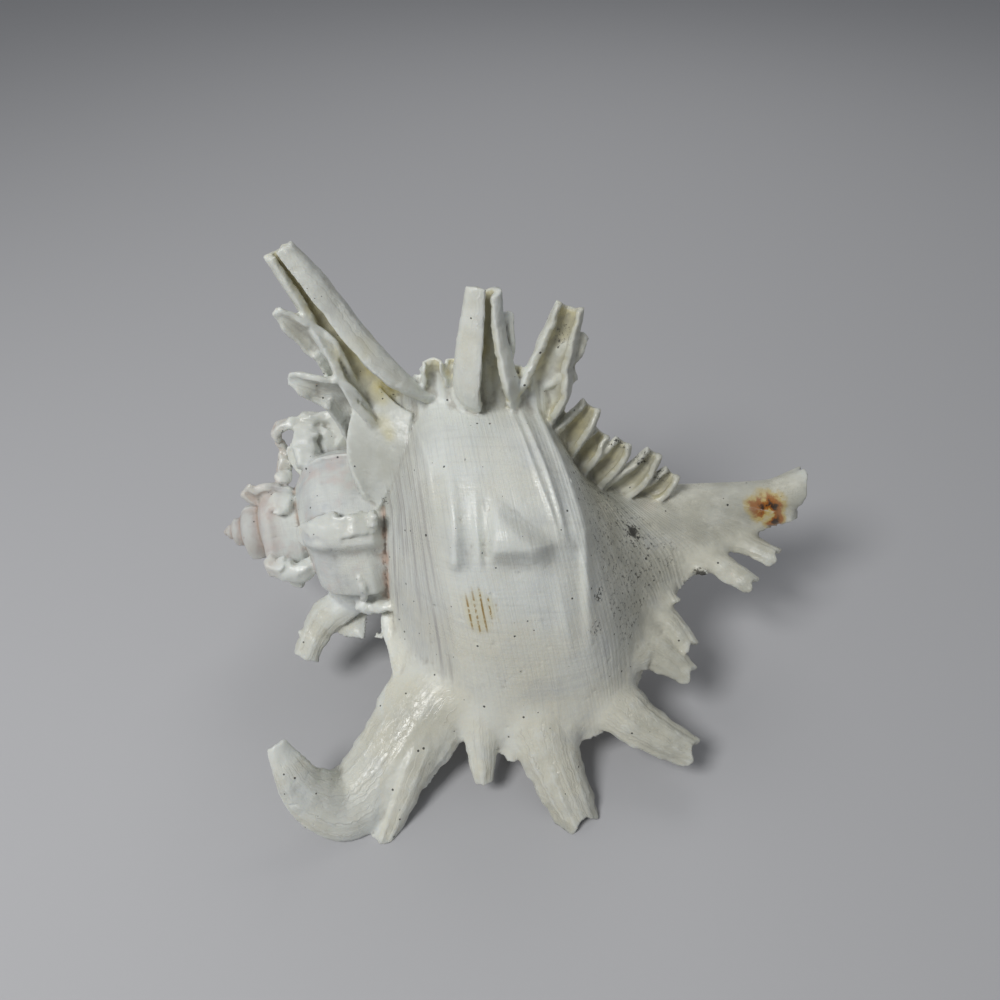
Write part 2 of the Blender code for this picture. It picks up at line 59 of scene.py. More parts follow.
# Lengths are in millimetres and angles in degrees until a mesh is made.
# x runs from the apex to the canal tip, r is the distance from the coiling axis,
# and "back" is how many degrees of growth lie between a place and the lip.
coil = {
    "whorlRatio": 1.95,
    "turns": 7,
    "lipAngle": -29.0,
    "axisHeight": 50.0,
    "apexX": -98.1,
    "axisY": 22.1,
    "canalTip": 195.0,
    "canalTube": (110.0, 8.5),      # where the tube starts, its radius
    "canalTaper": (150.0, 1.0, 3.2, 1.8),  # start, loss at the lip, further loss away from it, flared end
    "canalRim": (1.3, 0.5),         # how far its rim is broken back, and how ragged
    "bore": [(-0.2, 0.8), (-0.5, 1.7), (-4.0, 2.6), (-10.0, 5.0)],  # place past the tip, thickness of wall
    "recurve": (128.0, 9.0, 125.0),  # start, rise, direction
    "spireLean": (62.0, 6.5, -45.0),
    "outline": [
        (63, 20), (66, 27), (69, 31.5), (73, 37.5), (78, 45.5), (82, 51), (87, 55.5), (93, 58),
        (102, 59), (114, 58.5), (124, 57), (131, 53.5), (136, 47.5), (140, 39), (144, 30), (149, 22),
        (155, 16.5), (162, 13.5), (172, 11), (182, 9), (190, 8.6), (195, 9.2),
    ],
    "varixCrest": [
        (64, 0), (70, 8), (78, 13), (90, 15), (118, 15), (132, 14), (146, 11), (160, 7), (178, 4), (192, 2),
    ],
    "varixSpans": (9.0, 2.2),       # behind the crest, in front of it
    "lipCrest": [
        (64, 0), (70, 8), (78, 15), (86, 20), (100, 20), (116, 17), (130, 15), (140, 13), (150, 10), (164, 7),
        (178, 4), (192, 2),
    ],
    "lipSpan": 13.0,
    "spireVarixShare": 0.45,
    # degrees back, rise, span behind, span ahead, first and last place along
    "folds": [
        (69, 2.6, 24, 9, 84, 133), (189, 2.6, 24, 9, 84, 133), (309, 2.6, 24, 9, 84, 133),
        (384, 8, 20, 4, 68, 120), (418, 12, 9, 7, 64, 128), (540, 7, 14, 7, 66, 128),
        (660, 7, 14, 7, 66, 128), (742, 11, 22, 5, 66, 128), (842, 10, 20, 7, 66, 128),
        (1010, 7, 20, 8, 66, 128),
    ],
    "rampReach": (9.8, 75.0, 62.0, 26.0),  # how far over the spire near the lip, degrees, start, length
    "spireSwell": [(62, 0), (66, 7), (74, 7.5), (83, 3), (92, 0)],
    "apexSwell": (24.0, 12.0, 0.34),
    "slit": (122.0, 326.0, 9.0, 3.0),  # start, degrees back, half span, floor
    "steps": (720, 640),
}

# The wide knob of each fold of the last turn, and the narrow ridges that run over the body.
# A ridge is its middle as (degrees back of the next varix, along), half width, rise, crest, span behind
# the crest and span ahead.
bodyKnobs = {
    "crest": 63.8, "spans": (13.5, 4.4), "left": 101.0, "right": 124.0, "narrowing": 1.1, "rise": 6.4,
    "softness": (3.4, 10.0),
    "ridges": [
        ([(54, 90.0), (68, 92), (79, 92.8), (116, 93.5)], 2.2, 2.9, 58.5, 19, 3.2),
        ([(56, 98.2), (71, 99.6), (80, 100.8)], 1.1, 1.9, 61.5, 13, 4.5),
        ([(60, 109.0), (72, 109.5)], 5.0, 1.0, 64, 6, 4),
        ([(50, 116.0), (66, 118.0)], 4.0, 1.4, 61, 5, 5),
        ([(60, 124.0), (68, 124.3), (85, 121.9), (115, 119.1)], 0.75, 1.25, 74, 42, 7),
        ([(60, 126.2), (75, 126.3), (85, 125.6), (115, 122.8)], 0.85, 1.4, 73, 42, 8),
        ([(10, 125), (29, 126.6), (44, 128.8), (59, 131.6), (68, 134), (87, 133), (116, 130.4)],
         1.9, 2.5, 70, 48, 38),
        ([(58, 131.6), (72, 131.8)], 3.0, 2.8, 67, 10, 4),
        ([(20, 119.5), (50, 121.5)], 2.2, 0.9, 40, 10, 14),
        ([(62, 83.5), (90, 87), (116, 83)], 1.1, 0.9, 92, 30, 26),
    ],
}

mouth = {
    "middle": (106.0, 35.0),
    "halfLength": 28.0,
    "halfWidth": 18.5,
    "depth": 170.0,
    "steps": (60, 96),
    "cut": (66.0, 150.0),           # between these the lip's wall goes round the hole
    "crimps": (26, 0.7),            # how many round the outer lip, how deep
}

wings = {
    "edges": [
        ([(68, 45, 114), (66, 39, 102), (61, 30, 89), (57, 25, 76)],
         [(57, 53, 121), (50, 45, 117), (47.5, 34, 105), (52, 26, 84)]),
        ([(64, 29, 9), (67, 39, 8), (70, 48, 7), (73, 59, 6)],
         [(56.5, 28, 5), (55.8, 38.5, 2), (58.4, 46.5, 2), (61, 58, 2)]),
    ],
    "hollow": 2.0,
    "sheet": 1.9,
    "ridges": (26, 0.22),
    "steps": (90, 60),
}

fineness = {
    "voxel": 0.5,
    "triangles": 192000,
    "sheet": (72, 21),
    "blending": 110,
}


def growth(back):
    return coil["whorlRatio"] ** (-np.asarray(back, float) / 360.0)


def smoothStep(value):
    held = np.clip(value, 0.0, 1.0)
    return held * held * (3.0 - 2.0 * held)


def unit(vectors):
    return vectors / np.maximum(np.linalg.norm(vectors, axis=-1, keepdims=True), 1e-12)


def bell(offset, behind, ahead):
    return np.exp(-((offset / np.where(offset > 0.0, behind, ahead)) ** 2))


def latticeNoise(points, cell, seed):
    # smooth noise from -1 to 1 on a seeded grid of random values
    scaled = np.asarray(points, float) / cell
    base = np.floor(scaled).astype(np.int64)
    share = smoothStep(scaled - base)
    total = np.zeros(scaled.shape[:-1])
    for corner in range(2 ** scaled.shape[-1]):
        step = np.array([corner >> axis & 1 for axis in range(scaled.shape[-1])])
        spot = base + step
        mixed = np.full(total.shape, seed * 7919 + 104729, np.int64)
        for axis, prime in zip(range(scaled.shape[-1]), (73856093, 19349663, 83492791)):
            mixed = (mixed ^ (spot[..., axis] * prime)) * 1103515245 & 0x7FFFFFFF
            mixed = mixed ^ (mixed >> 13)
        weight = np.prod(np.where(step == 1, share, 1.0 - share), axis=-1)
        total += weight * ((mixed & 0xFFFF) / 32767.5 - 1.0)
    return total


def frill(along):
    # small folds of the flange between the spines
    return np.abs(np.sin(along * 0.74)) + 0.5 * np.abs(np.sin(along * 1.31 + 0.6))


def smoothTable(table, spread):
    # the table with its corners rounded off
    places, values = zip(*table)
    fine = np.arange(places[0], places[-1] + 0.1, 0.25)
    reach = int(16 * spread)
    weights = np.exp(-0.5 * (np.arange(-reach, reach + 1) * 0.25 / spread) ** 2)
    rough = np.pad(np.interp(fine, places, values), reach, mode="reflect", reflect_type="odd")
    return fine, np.convolve(rough, weights / weights.sum(), mode="valid")


rounded = {
    "outline": smoothTable(coil["outline"], 1.2),
    "varixCrest": smoothTable(coil["varixCrest"], 2.0),
    "lipCrest": smoothTable(coil["lipCrest"], 2.0),
    "spireSwell": smoothTable(coil["spireSwell"], 1.5),
}


def rampReach(back, along):
    reach, overBack, start, length = coil["rampReach"]
    return reach * np.clip(1.0 - back / overBack, 0.0, 1.0) * (1.0 - smoothStep((along - start) / length))


def knobRelief(back, along):
    look, local = bodyKnobs, back % 120.0
    left = look["left"] + 0.25 * (local - look["crest"])
    right = look["right"] - look["narrowing"] * np.maximum(local - look["crest"], 0.0)
    rise = look["rise"] * bell(local - look["crest"], *look["spans"])
    leftSoft, rightSoft = look["softness"]
    rise = rise * smoothStep((along - left) / leftSoft) * smoothStep((right - along) / rightSoft)
    for line, halfWidth, height, crest, behind, ahead in look["ridges"]:
        middle = np.interp(local, *zip(*line))
        ridge = height * np.exp(-(((along - middle) / halfWidth) ** 2))
        rise = rise + ridge * bell(local - crest, behind, ahead)
    return np.where(back < 330.0, rise, 0.0)


def relief(back, along):
    offset = (back + 60.0) % 120.0 - 60.0
    onBody = (back > 60.0) & (back < 330.0)
    offset = offset + np.where(onBody, 0.6 * (frill(along) - 0.8), 0.0)
    behind, ahead = coil["varixSpans"]
    behind = np.where(back < 60.0, coil["lipSpan"], behind)
    flare = np.exp(-np.where(offset > 0.0, offset / behind, -offset / ahead))
    crests = [np.interp(along, *rounded[name]) for name in ("lipCrest", "varixCrest")]
    flare = flare * np.where(back < 60.0, *crests)
    flare = flare * np.where(back > 330.0, coil["spireVarixShare"], 1.0)
    flare = flare * np.where(onBody, 0.86 + 0.14 * frill(along + 1.1), 1.0)
    folds = knobRelief(back, along) + np.where(back > 330.0, np.interp(along, *rounded["spireSwell"]), 0.0)
    for foldBack, rise, spanBehind, spanAhead, first, last in coil["folds"]:
        offset = back - foldBack
        stretch = smoothStep((along - first) / 10.0) * smoothStep((last - along) / 8.0)
        folds = folds + rise * stretch * bell(offset, spanBehind, spanAhead)
    return flare + folds


def canalRadius(x, back):
    start, radius = coil["canalTube"]
    taperStart, nearLoss, farLoss, end = coil["canalTaper"]
    away = 0.5 - 0.5 * np.cos(np.radians(back - 10.0))
    taper = smoothStep((x - taperStart) / (coil["canalTip"] - taperStart))
    flared = end * (0.6 + 0.9 * np.clip(np.cos(np.radians(back - 120.0)), 0.0, 1.0))
    atTip = smoothStep((x - coil["canalTip"] + 12.0) / 12.0)
    radius = radius - taper * (nearLoss + farLoss * away) + flared * atTip
    return radius * smoothStep((x - start) / 10.0) * (x < coil["canalTip"])


def coilSurface(x, back):
    # the outermost turn that passes here: radius, place along, degrees back, lead over the next turn
    x, back = np.broadcast_arrays(np.asarray(x, float), np.asarray(back, float))
    turns = []
    for turn in range(coil["turns"]):
        older = back + 360.0 * turn
        scale = growth(older)
        along = x / scale
        reached = along + rampReach(older, along)
        plain = np.interp(reached, *rounded["outline"], left=0.0, right=0.0)
        radius = np.where(plain > 0.0, (plain + relief(older, reached)) * scale, 0.0)
        turns.append((radius, reached, older))
    radii = np.array([turn[0] for turn in turns])
    order = np.argsort(-radii, axis=0)
    pick = [np.take_along_axis(np.array([turn[n] for turn in turns]), order[:1], axis=0)[0] for n in range(3)]
    lead = pick[0] - np.take_along_axis(radii, order[1:2], axis=0)[0]
    return pick[0], pick[1], pick[2], lead


def coilRadius(x, back):
    largest = coilSurface(x, back)[0]
    apexStart, apexSpan, apexRise = coil["apexSwell"]
    largest = largest * (1.0 + apexRise * smoothStep((apexStart - x) / apexSpan))
    solid = np.maximum(largest, canalRadius(x, back))
    start, middle, halfSpan, floor = coil["slit"]
    into = smoothStep(1.5 - np.abs(back - middle) / halfSpan) * smoothStep((x - start) / 8.0)
    return np.where(solid > floor, solid + (floor - solid) * into, solid)


def axisShift(x):
    # how far the axis strays from a straight line: the canal curves up, the spire leans
    start, rise, turn = coil["recurve"]
    lift = rise * np.clip((x - start) / (coil["canalTip"] - start), 0.0, 1.2) ** 2
    leanStart, lean, leanTurn = coil["spireLean"]
    sag = lean * np.clip((leanStart - x) / leanStart, 0.0, 1.0) ** 1.5
    y = -lift * math.cos(math.radians(turn)) - sag * math.cos(math.radians(leanTurn))
    z = lift * math.sin(math.radians(turn)) + sag * math.sin(math.radians(leanTurn))
    return coil["axisY"] + y, coil["axisHeight"] + z


def place(x, r, back):
    # world position in metres
    turn = np.radians(coil["lipAngle"] + back)
    y, z = axisShift(x)
    spot = np.stack([x + coil["apexX"] + 0.0 * turn, y - r * np.cos(turn), z + r * np.sin(turn)], axis=-1)
    return spot / 1000.0


def shellPlace(points):
    # the other way round: x, r and back of points in metres
    x = points[:, 0] * 1000.0 - coil["apexX"]
    y, z = axisShift(x)
    dy, dz = points[:, 1] * 1000.0 - y, points[:, 2] * 1000.0 - z
    return x, np.hypot(dy, dz), (np.degrees(np.arctan2(dz, -dy)) - coil["lipAngle"]) % 360.0


def gridFaces(rows, columns, offset=0):
    i, j = np.meshgrid(np.arange(rows - 1), np.arange(columns - 1), indexing="ij")
    first = (offset + i * columns + j).reshape(-1)
    quads = np.stack([first, first + 1, first + columns + 1, first + columns], axis=-1)
    return np.vstack([quads[:, [0, 1, 2]], quads[:, [0, 2, 3]]])


def bridged(outer, outerX, outerR, inner, innerX, innerR):
    # triangles between two rings, both anticlockwise round the middle of the mouth
    middleX, middleR = mouth["middle"]
    rings = []
    for names, x, r in ((outer, outerX, outerR), (inner, innerX, innerR)):
        turn = np.arctan2(r - middleR, x - middleX)
        first = int(np.argmin(turn))
        names, turn = np.roll(names, -first), np.maximum.accumulate(np.roll(turn, -first))
        rings.append((np.append(names, names[0]), np.append(turn, turn[0] + 2.0 * math.pi)))
    (outer, outerTurn), (inner, innerTurn) = rings
    faces, i, j = [], 0, 0
    while i < len(outer) - 1 or j < len(inner) - 1:
        if j == len(inner) - 1 or (i < len(outer) - 1 and outerTurn[i + 1] <= innerTurn[j + 1]):
            faces.append((outer[i], outer[i + 1], inner[j]))
            i += 1
        else:
            faces.append((outer[i], inner[j + 1], inner[j]))
            j += 1
    return np.array(faces)


def coilBody():
    # the coiled body with the tunnel of the mouth, closed across the lip
    rows, columns = coil["steps"][0] + 1, coil["steps"][1] + 1
    back = np.linspace(0.0, 360.0, rows)[:, None]
    x = np.linspace(0.8, coil["canalTip"] - 0.5, columns)[None, :]
    radius = np.maximum(coilRadius(x, back), 0.35)
    # the canal ends in a thin rim, broken a little, with the bore behind it
    tipX = coil["canalTip"] + np.array([[place for place, _ in coil["bore"]]])
    tipR = np.maximum(radius[:, -1:] - np.array([[thickness for _, thickness in coil["bore"]]]), 0.4)
    gridX, gridR = np.hstack([x, tipX]), np.hstack([radius, tipR])
    columns = gridX.shape[1]
    lost, ragged = coil["canalRim"]
    broken = lost - lost * np.cos(np.radians(back - 115.0)) + ragged * np.abs(np.sin(np.radians(back * 3.5)))
    gridX = gridX - broken * smoothStep((gridX - coil["canalTip"] + 10.0) / 10.0)
    grid = place(gridX, gridR, back + 0.0 * gridX)
    ends = [place(np.array(0.3), np.array(0.0), 0.0), place(tipX[0, -1:] - 0.4, np.array([0.0]), 0.0)[0]]
    apex, tip, last = rows * columns, rows * columns + 1, (rows - 1) * columns
    faces = [gridFaces(rows, columns)]
    i = np.arange(rows - 1) * columns
    faces.append(np.stack([i, i + columns, np.full_like(i, apex)], -1))
    faces.append(np.stack([i + columns - 1, np.full_like(i, tip), i + 2 * columns - 1], -1))
    faces.append(np.array([(0, apex, last), (columns - 1, last + columns - 1, tip)]))

    share = np.linspace(0.0, 1.0, mouth["steps"][0])[:, None]
    inward = mouth["depth"] * share
    around = np.linspace(0.0, 2.0 * math.pi, mouth["steps"][1], endpoint=False)[None, :]
    scale = growth(inward)
    flaring = 1.0 + 0.1 * smoothStep((8.0 - inward) / 16.0)
    size = scale * (1.0 - 0.55 * smoothStep((share - 0.7) / 0.3)) * flaring
    crimpCount, crimpDepth = mouth["crimps"]
    crimp = crimpDepth * np.cos(crimpCount * around) * smoothStep(np.sin(around) * 1.6)
    crimp = crimp * np.exp(-inward / 9.0)
    holeX = mouth["middle"][0] * scale + mouth["halfLength"] * size * np.cos(around)
    pinch = 0.82 + 0.18 * np.sin(around)
    holeR = mouth["middle"][1] * scale + (mouth["halfWidth"] + crimp) * size * np.sin(around) * pinch
    hole = place(holeX, holeR, inward + 0.0 * around)
    start = rows * columns + 2
    count = mouth["steps"][1]
    for row in range(mouth["steps"][0] - 1):
        one = start + row * count + np.arange(count)
        two = start + row * count + (np.arange(count) + 1) % count
        faces.append(np.stack([one, two, two + count], -1))
        faces.append(np.stack([one, two + count, one + count], -1))
    deepest = start + (mouth["steps"][0] - 1) * count
    fan = deepest + np.arange(1, count - 1)
    faces.append(np.stack([np.full_like(fan, deepest), fan, fan + 1], -1))

    # the wall across the lip: plain where it is narrow, with the hole cut in it elsewhere
    cutFrom, cutTo = (int(np.searchsorted(x[0], edge)) for edge in mouth["cut"])
    j = np.array([n for n in range(columns - 1) if not cutFrom <= n < cutTo])
    faces.append(np.stack([j, last + j, last + j + 1], -1))
    faces.append(np.stack([j, last + j + 1, j + 1], -1))
    span = np.arange(cutFrom, cutTo + 1)
    rim = np.concatenate([last + span, span[::-1]])
    rimR = np.concatenate([radius[-1, span], radius[0, span[::-1]]])
    rimX = np.concatenate([x[0, span], x[0, span[::-1]]])
    faces.append(bridged(rim, rimX, rimR, start + np.arange(count), holeX[0], holeR[0]))
    return np.vstack([grid.reshape(-1, 3), ends, hole.reshape(-1, 3)]), np.vstack(faces)


def smoothLine(knots, steps):
    knots = np.asarray(knots, float)
    count = len(knots)
    padded = np.vstack([2 * knots[0] - knots[1], knots, 2 * knots[-1] - knots[-2]])
    at = np.linspace(0.0, count - 1.0, steps)
    piece = np.minimum(at.astype(int), count - 2)
    share = (at - piece)[:, None]
    p0, p1, p2, p3 = (padded[piece + n] for n in range(4))
    return 0.5 * (
        2 * p1 + (p2 - p0) * share + (2 * p0 - 5 * p1 + 4 * p2 - p3) * share**2
        + (3 * p1 - p0 - 3 * p2 + p3) * share**3
    )


# How each kind of frond is folded, ribbed and broken off: curl is the half angle of its fold from root to
# tip, turned is how far its opening looks to a side, crumple is in millimetres, edge is the thickness left
# at its sides, teeth is how ragged they are, and ribs are (place across, rise, half width) on its back.
frondKinds = {
    "blade": {
        "curl": (28, 58), "crumple": 0.35, "sheet": 2.9, "edge": 0.62, "teeth": 0.09, "tip": "stump",
        "ribs": [(-0.93, 0.8, 0.045), (-0.76, 0.7, 0.05), (-0.5, 0.35, 0.08), (-0.1, 0.25, 0.06),
                 (0.12, 0.3, 0.05), (0.27, 0.4, 0.045), (0.41, 0.6, 0.045), (0.55, 0.7, 0.045),
                 (0.69, 0.75, 0.045), (0.84, 0.7, 0.045)],
    },
    "ribbed": {
        "curl": (30, 62), "crumple": 0.45, "sheet": 2.5, "edge": 0.55, "teeth": 0.11, "tip": "fork",
        "ribs": [(-0.85, 0.7, 0.07), (-0.5, 0.6, 0.09), (-0.18, 0.75, 0.08), (0.12, 0.6, 0.07),
                 (0.4, 0.8, 0.08), (0.7, 0.6, 0.08)],
    },
    "lesser": {
        "curl": (30, 70), "crumple": 0.6, "sheet": 2.3, "edge": 0.6, "teeth": 0.12, "tip": "stump",
        "ribs": [(-0.55, 0.5, 0.12), (0.0, 0.55, 0.12), (0.5, 0.5, 0.12)],
    },
    "channel": {
        "curl": (75, 118, 128), "turned": 10, "crumple": 0.55, "sheet": 2.9, "edge": 0.72, "teeth": 0.08,
        "tip": "notch", "ribs": [(-0.6, 0.6, 0.1), (-0.2, 0.5, 0.1), (0.3, 0.6, 0.1), (0.7, 0.5, 0.1)],
    },
    "closedChannel": {
        "curl": (95, 150, 168), "turned": -24, "crumple": 0.35, "sheet": 3.0, "edge": 0.8, "teeth": 0.1,
        "tip": "split", "ribs": [(-0.6, 0.5, 0.1), (-0.2, 0.5, 0.1), (0.3, 0.6, 0.1), (0.7, 0.5, 0.1)],
    },
    "longSpine": {
        "curl": (62, 100, 150, 166), "turned": 12, "crumple": 0.4, "sheet": 3.2, "edge": 0.8, "teeth": 0.09,
        "tip": "notch", "ribs": [(-0.6, 0.5, 0.08), (-0.3, 0.5, 0.08), (0.1, 0.4, 0.08), (0.35, 0.6, 0.07),
                                 (0.62, 0.6, 0.07)],
    },
    "barb": {
        "curl": (50, 75), "crumple": 0.6, "sheet": 2.2, "edge": 0.7, "teeth": 0.04, "tip": "point",
        "ribs": [],
    },
    "scale": {
        "curl": (95, 130), "crumple": 0.7, "sheet": 1.6, "edge": 0.7, "teeth": 0.1, "tip": "stump",
        "ribs": [],
    },
    "stub": {
        "curl": (35, 60), "crumple": 0.5, "sheet": 3.4, "edge": 0.8, "teeth": 0.14, "tip": "stump",
        "ribs": [(-0.4, 0.5, 0.15), (0.3, 0.5, 0.15)],
    },
}
# how much is missing from each tip: place across, millimetres
tipShapes = {
    "point": [(-1, 1.5), (0, 0), (1, 1.5)],
    "stump": [(-1, 1.0), (-0.7, 0.2), (-0.3, 0.9), (0.1, 0.0), (0.55, 0.8), (1, 0.3)],
    "fork": [(-1, 3.2), (-0.7, 0.6), (-0.35, 0), (0, 2.2), (0.25, 2.6), (0.6, 0.4), (0.85, 0), (1, 1.5)],
    "split": [(-1, 0.6), (-0.7, 0), (-0.35, 1), (-0.1, 3.4), (0.15, 3.6), (0.45, 1.4), (0.75, 1.9), (1, 3.4)],
    "notch": [(-1, 2.4), (-0.6, 0.3), (-0.2, 2.6), (0.2, 2.8), (0.6, 0.0), (1, 1.4)],
}
# root x, middle line as (x, r, degrees back of the varix), half widths there, kind
lipFronds = [
    (80, [(72, 64, 7), (61, 79, 4), (49, 90.5, 3), (38, 88, 8), (29.5, 76, 16)], [15, 12.5, 10.5, 6.5, 2.2],
     "blade"),
    (76, [(66, 82, 4), (58, 103, -0.5)], [7, 3.4], "lesser"),
    (70, [(56, 86, 2), (47, 101.5, 0)], [7, 2.8], "lesser"),
    (88, [(88, 74, 5), (89, 86.5, 0)], [5, 2.6], "lesser"),
    (97, [(97, 72, 4), (98, 80, 0)], [3.4, 1.6], "lesser"),
    (104, [(106, 69, 8), (111, 82, 3), (119, 99.5, -1)], [12.5, 8.6, 6.2], "ribbed"),
    (115, [(115, 71, 5), (116, 77, 1)], [3.4, 1.7], "lesser"),
    (122, [(127, 62, 7), (139, 70, 3.5), (154, 79, 1.5)], [10, 6.8, 4.8], "ribbed"),
    (134, [(142, 48, 6), (154.5, 56, 2)], [6.2, 3.6], "ribbed"),
    (139, [(146, 38, 6), (154.5, 47.5, 4)], [4.8, 3], "ribbed"),
    (144, [(147, 28, 7), (150, 33, 6)], [4, 2], "lesser"),
    (154, [(163, 20, 8), (176, 30.5, 6)], [4.6, 3.2], "ribbed"),
    (160, [(170, 13.5, 8), (184.5, 22.5, 7)], [4.6, 3.2], "ribbed"),
    (172, [(182, 7, 9), (192, 11, 9)], [3.4, 2.4], "lesser"),
]
topFronds = [
    (64, [(57.7, 54, 2), (49.5, 68, 3), (42.5, 81, 4), (34.2, 95, 4)], [8, 5.6, 4.6, 3.0], "longSpine"),
    (54, [(48, 50, -2), (42.5, 55, -3), (37.5, 58, -4), (33, 59.5, -4)], [5.5, 5, 3.6, 1.5], "barb"),
    (54, [(46, 62, 0), (42.5, 68.5, 0), (37.5, 74.5, -1), (33, 80.3, -2)], [4, 4.2, 3.2, 1.3], "barb"),
    (74.5, [(74.6, 55, 1), (74.3, 61.5, 0)], [3.4, 2.2], "scale"),
    (79, [(79.3, 54, 2), (80, 60.5, 1)], [2.2, 1.5], "scale"),
    (83.5, [(83.8, 54, 1), (83.2, 58.5, 0)], [3, 1.6], "scale"),
    (90, [(89.2, 58, 2), (88.7, 69, 3), (89.3, 82.5, 4)], [7.6, 5.2, 4.0], "closedChannel"),
    (94, [(94.2, 62, 2), (95.0, 69, 2), (96.3, 74.5, 2)], [3, 2.4, 1.2], "barb"),
    (97.5, [(98, 53, 1), (98.6, 59, 0)], [3, 1.8], "scale"),
    (101.5, [(101.5, 52, 1), (102, 56, 0)], [2.2, 1.4], "scale"),
    (106, [(107, 53, 2), (109, 61, 3), (113.4, 76.5, 4)], [6.4, 4.6, 3.0], "channel"),
    (110, [(112.5, 58, 3), (115.5, 64, 2), (118.2, 67.5, 2)], [3, 2.6, 1.2], "barb"),
    (107, [(109.5, 50, 1), (113, 54, 0), (116.5, 55.5, 0)], [2.6, 2.2, 1.2], "barb"),
    (114, [(117.5, 38, 2), (121.5, 44, 3)], [4, 2.2], "channel"),
    (118, [(121.5, 29, 2), (125.5, 34, 3)], [3.8, 2], "channel"),
    (123, [(128.5, 24, 3), (132.6, 30.5, 3)], [3.8, 2], "channel"),
    (131, [(138, 18.5, 3), (142.8, 26, 3)], [3.8, 2], "channel"),
    (140, [(145.5, 12.5, 3), (149.5, 17.5, 3)], [3.6, 2], "channel"),
]
underFronds = [
    (52, [(46, 46, 4), (39, 58, 12), (33, 67.5, 18)], [6.5, 5, 3.4], "ribbed"),
    (62, [(62, 45, 4), (61, 53, 8)], [3.5, 2], "lesser"),
    (72, [(73, 50, 6), (73, 58, 15), (74, 63.5, 23)], [6, 5, 4], "ribbed"),
    (79, [(79, 45, 4), (80, 52, 8)], [3.2, 2], "lesser"),
    (88, [(93, 45, 6), (99, 54, 16), (106, 62, 26)], [5.5, 4.8, 4], "ribbed"),
    (95, [(102, 32, 4), (108, 39, 8)], [3.6, 2.2], "lesser"),
    (104, [(111, 20, 4), (118, 27, 8)], [3.6, 2.2], "lesser"),
    (114, [(120, 12, 4), (126, 16, 6)], [3.6, 2.2], "lesser"),
]
# the same on the spire, each with the degrees back of its own varix
spireStubs = [
    (360, 44, [(37, 33, -2), (33.5, 37, -6), (29.5, 46, -8)], [5, 4.2, 3.6]),
    (600, 27, [(23, 24, 3), (17, 30, 5)], [4, 3]),
    (840, 17, [(14, 14, 2), (11, 17, 3)], [3.2, 2.4]),
]
# Broken ledges and lumps on the spire: middle line as (x, r, degrees back), half widths round the
# shell, half heights outwards, how rough
spireLumps = [
    ([(31, 18, 61), (36, 24, 61), (42, 29, 64.5), (48, 30.5, 66.5), (52.5, 30, 67), (57, 29, 67)],
     [3, 4.4, 5.2, 4.8, 4.2, 2.6], [3, 3.4, 3.4, 3.2, 3, 2], 0.45),
    ([(55.7, 30.5, 74), (56, 32, 70), (55.7, 31.5, 66)], [1.2, 1.6, 1.3], [1.6, 2.4, 1.8], 0.1),
    ([(18.5, 17, 27), (24, 20.5, 28), (29.5, 21.5, 27), (35, 21, 28)],
     [3.6, 4.4, 4.2, 3.4], [2.6, 3.3, 3.3, 2.6], 0.4),
    ([(26, 14, 351), (25, 19.5, 349), (28.5, 21.5, 349)], [2.2, 2.0, 1.9], [1.8, 1.8, 1.7], 0.35),
    ([(22.4, 24, 153), (22.2, 19, 149), (23, 15, 130)], [2.6, 2.9, 2.8], [2.4, 2.6, 2.4], 0.25),
    ([(24.5, 20.5, 144), (29, 22.5, 145), (35, 25, 147), (40, 27, 148)],
     [1.7, 1.9, 1.9, 1.7], [6.5, 7.5, 7, 5], 0.3),
    ([(17.6, 15.5, 127), (22.1, 15.5, 126)], [1.4, 1.5], [1.3, 1.3], 0.3),
    ([(16.5, 11.5, 106), (21.4, 13, 102), (27, 13.4, 99)], [4.6, 5.8, 4.8], [2.4, 2.8, 2.6], 0.6),
    ([(19, 30, 146), (24, 33.5, 149), (31, 34.5, 151), (39, 33.5, 152), (47, 29.5, 150)],
     [2.6, 3.6, 3.9, 3.4, 2.4], [1.6, 1.9, 1.9, 1.8, 1.6], 0.7),
    ([(33, 20, 128), (31, 27, 140), (30, 33, 149)], [5, 4.6, 4], [4.5, 3.6, 2.4], 0.5),
    ([(29, 27, 142), (36, 29, 146), (44, 29, 147), (52, 27, 143), (58, 25, 138)],
     [2, 2.2, 2.2, 2.2, 2], [5, 5.4, 5.4, 5, 4], 0.35),
    ([(20, 31, 145), (21, 27, 150), (22.3, 24, 153)], [1.8, 1.7, 2.0], [1.6, 1.6, 1.8], 0.5),
    ([(36, 32, 355), (44, 34.5, 353), (50, 35.5, 353), (57, 36, 353)],
     [1.2, 1.3, 1.4, 1.4], [5, 6.5, 7, 7], 0.3),
    ([(47.5, 31.5, 7), (54, 33, 10), (60.5, 34, 14)], [1.8, 2.0, 1.8], [2.4, 2.6, 2.4], 0.35),
    ([(50.3, 30.5, 36), (51.6, 31.6, 28), (50.6, 31, 13)], [0.9, 1.2, 1.2], [1.4, 2.0, 1.8], 0.2),
    ([(31, 37, 352), (27.5, 37.5, 352)], [1.8, 1.3], [1.5, 1.2], 0.3),
    # a dark lump of dirt at the root of a spine on the canal
    ([(156.6, 22.5, 7), (158.8, 23.2, 6.5), (161.2, 22.6, 6)], [1.5, 2.1, 1.6], [1.2, 1.7, 1.2], 0.7),
]
lumpSteps = (60, 56)
lumpChips = 18
# How the root of a frond creeps up on the whorl: degrees behind the first place of its line and depth
# under the skin, in sheets, for the lip and for the other varices
frondRoots = {"lip": [(16, 2.6), (9.5, 1.9), (4.0, 1.15)], "other": [(16, 1.28), (8, 0.8), (3.2, 0.8)]}


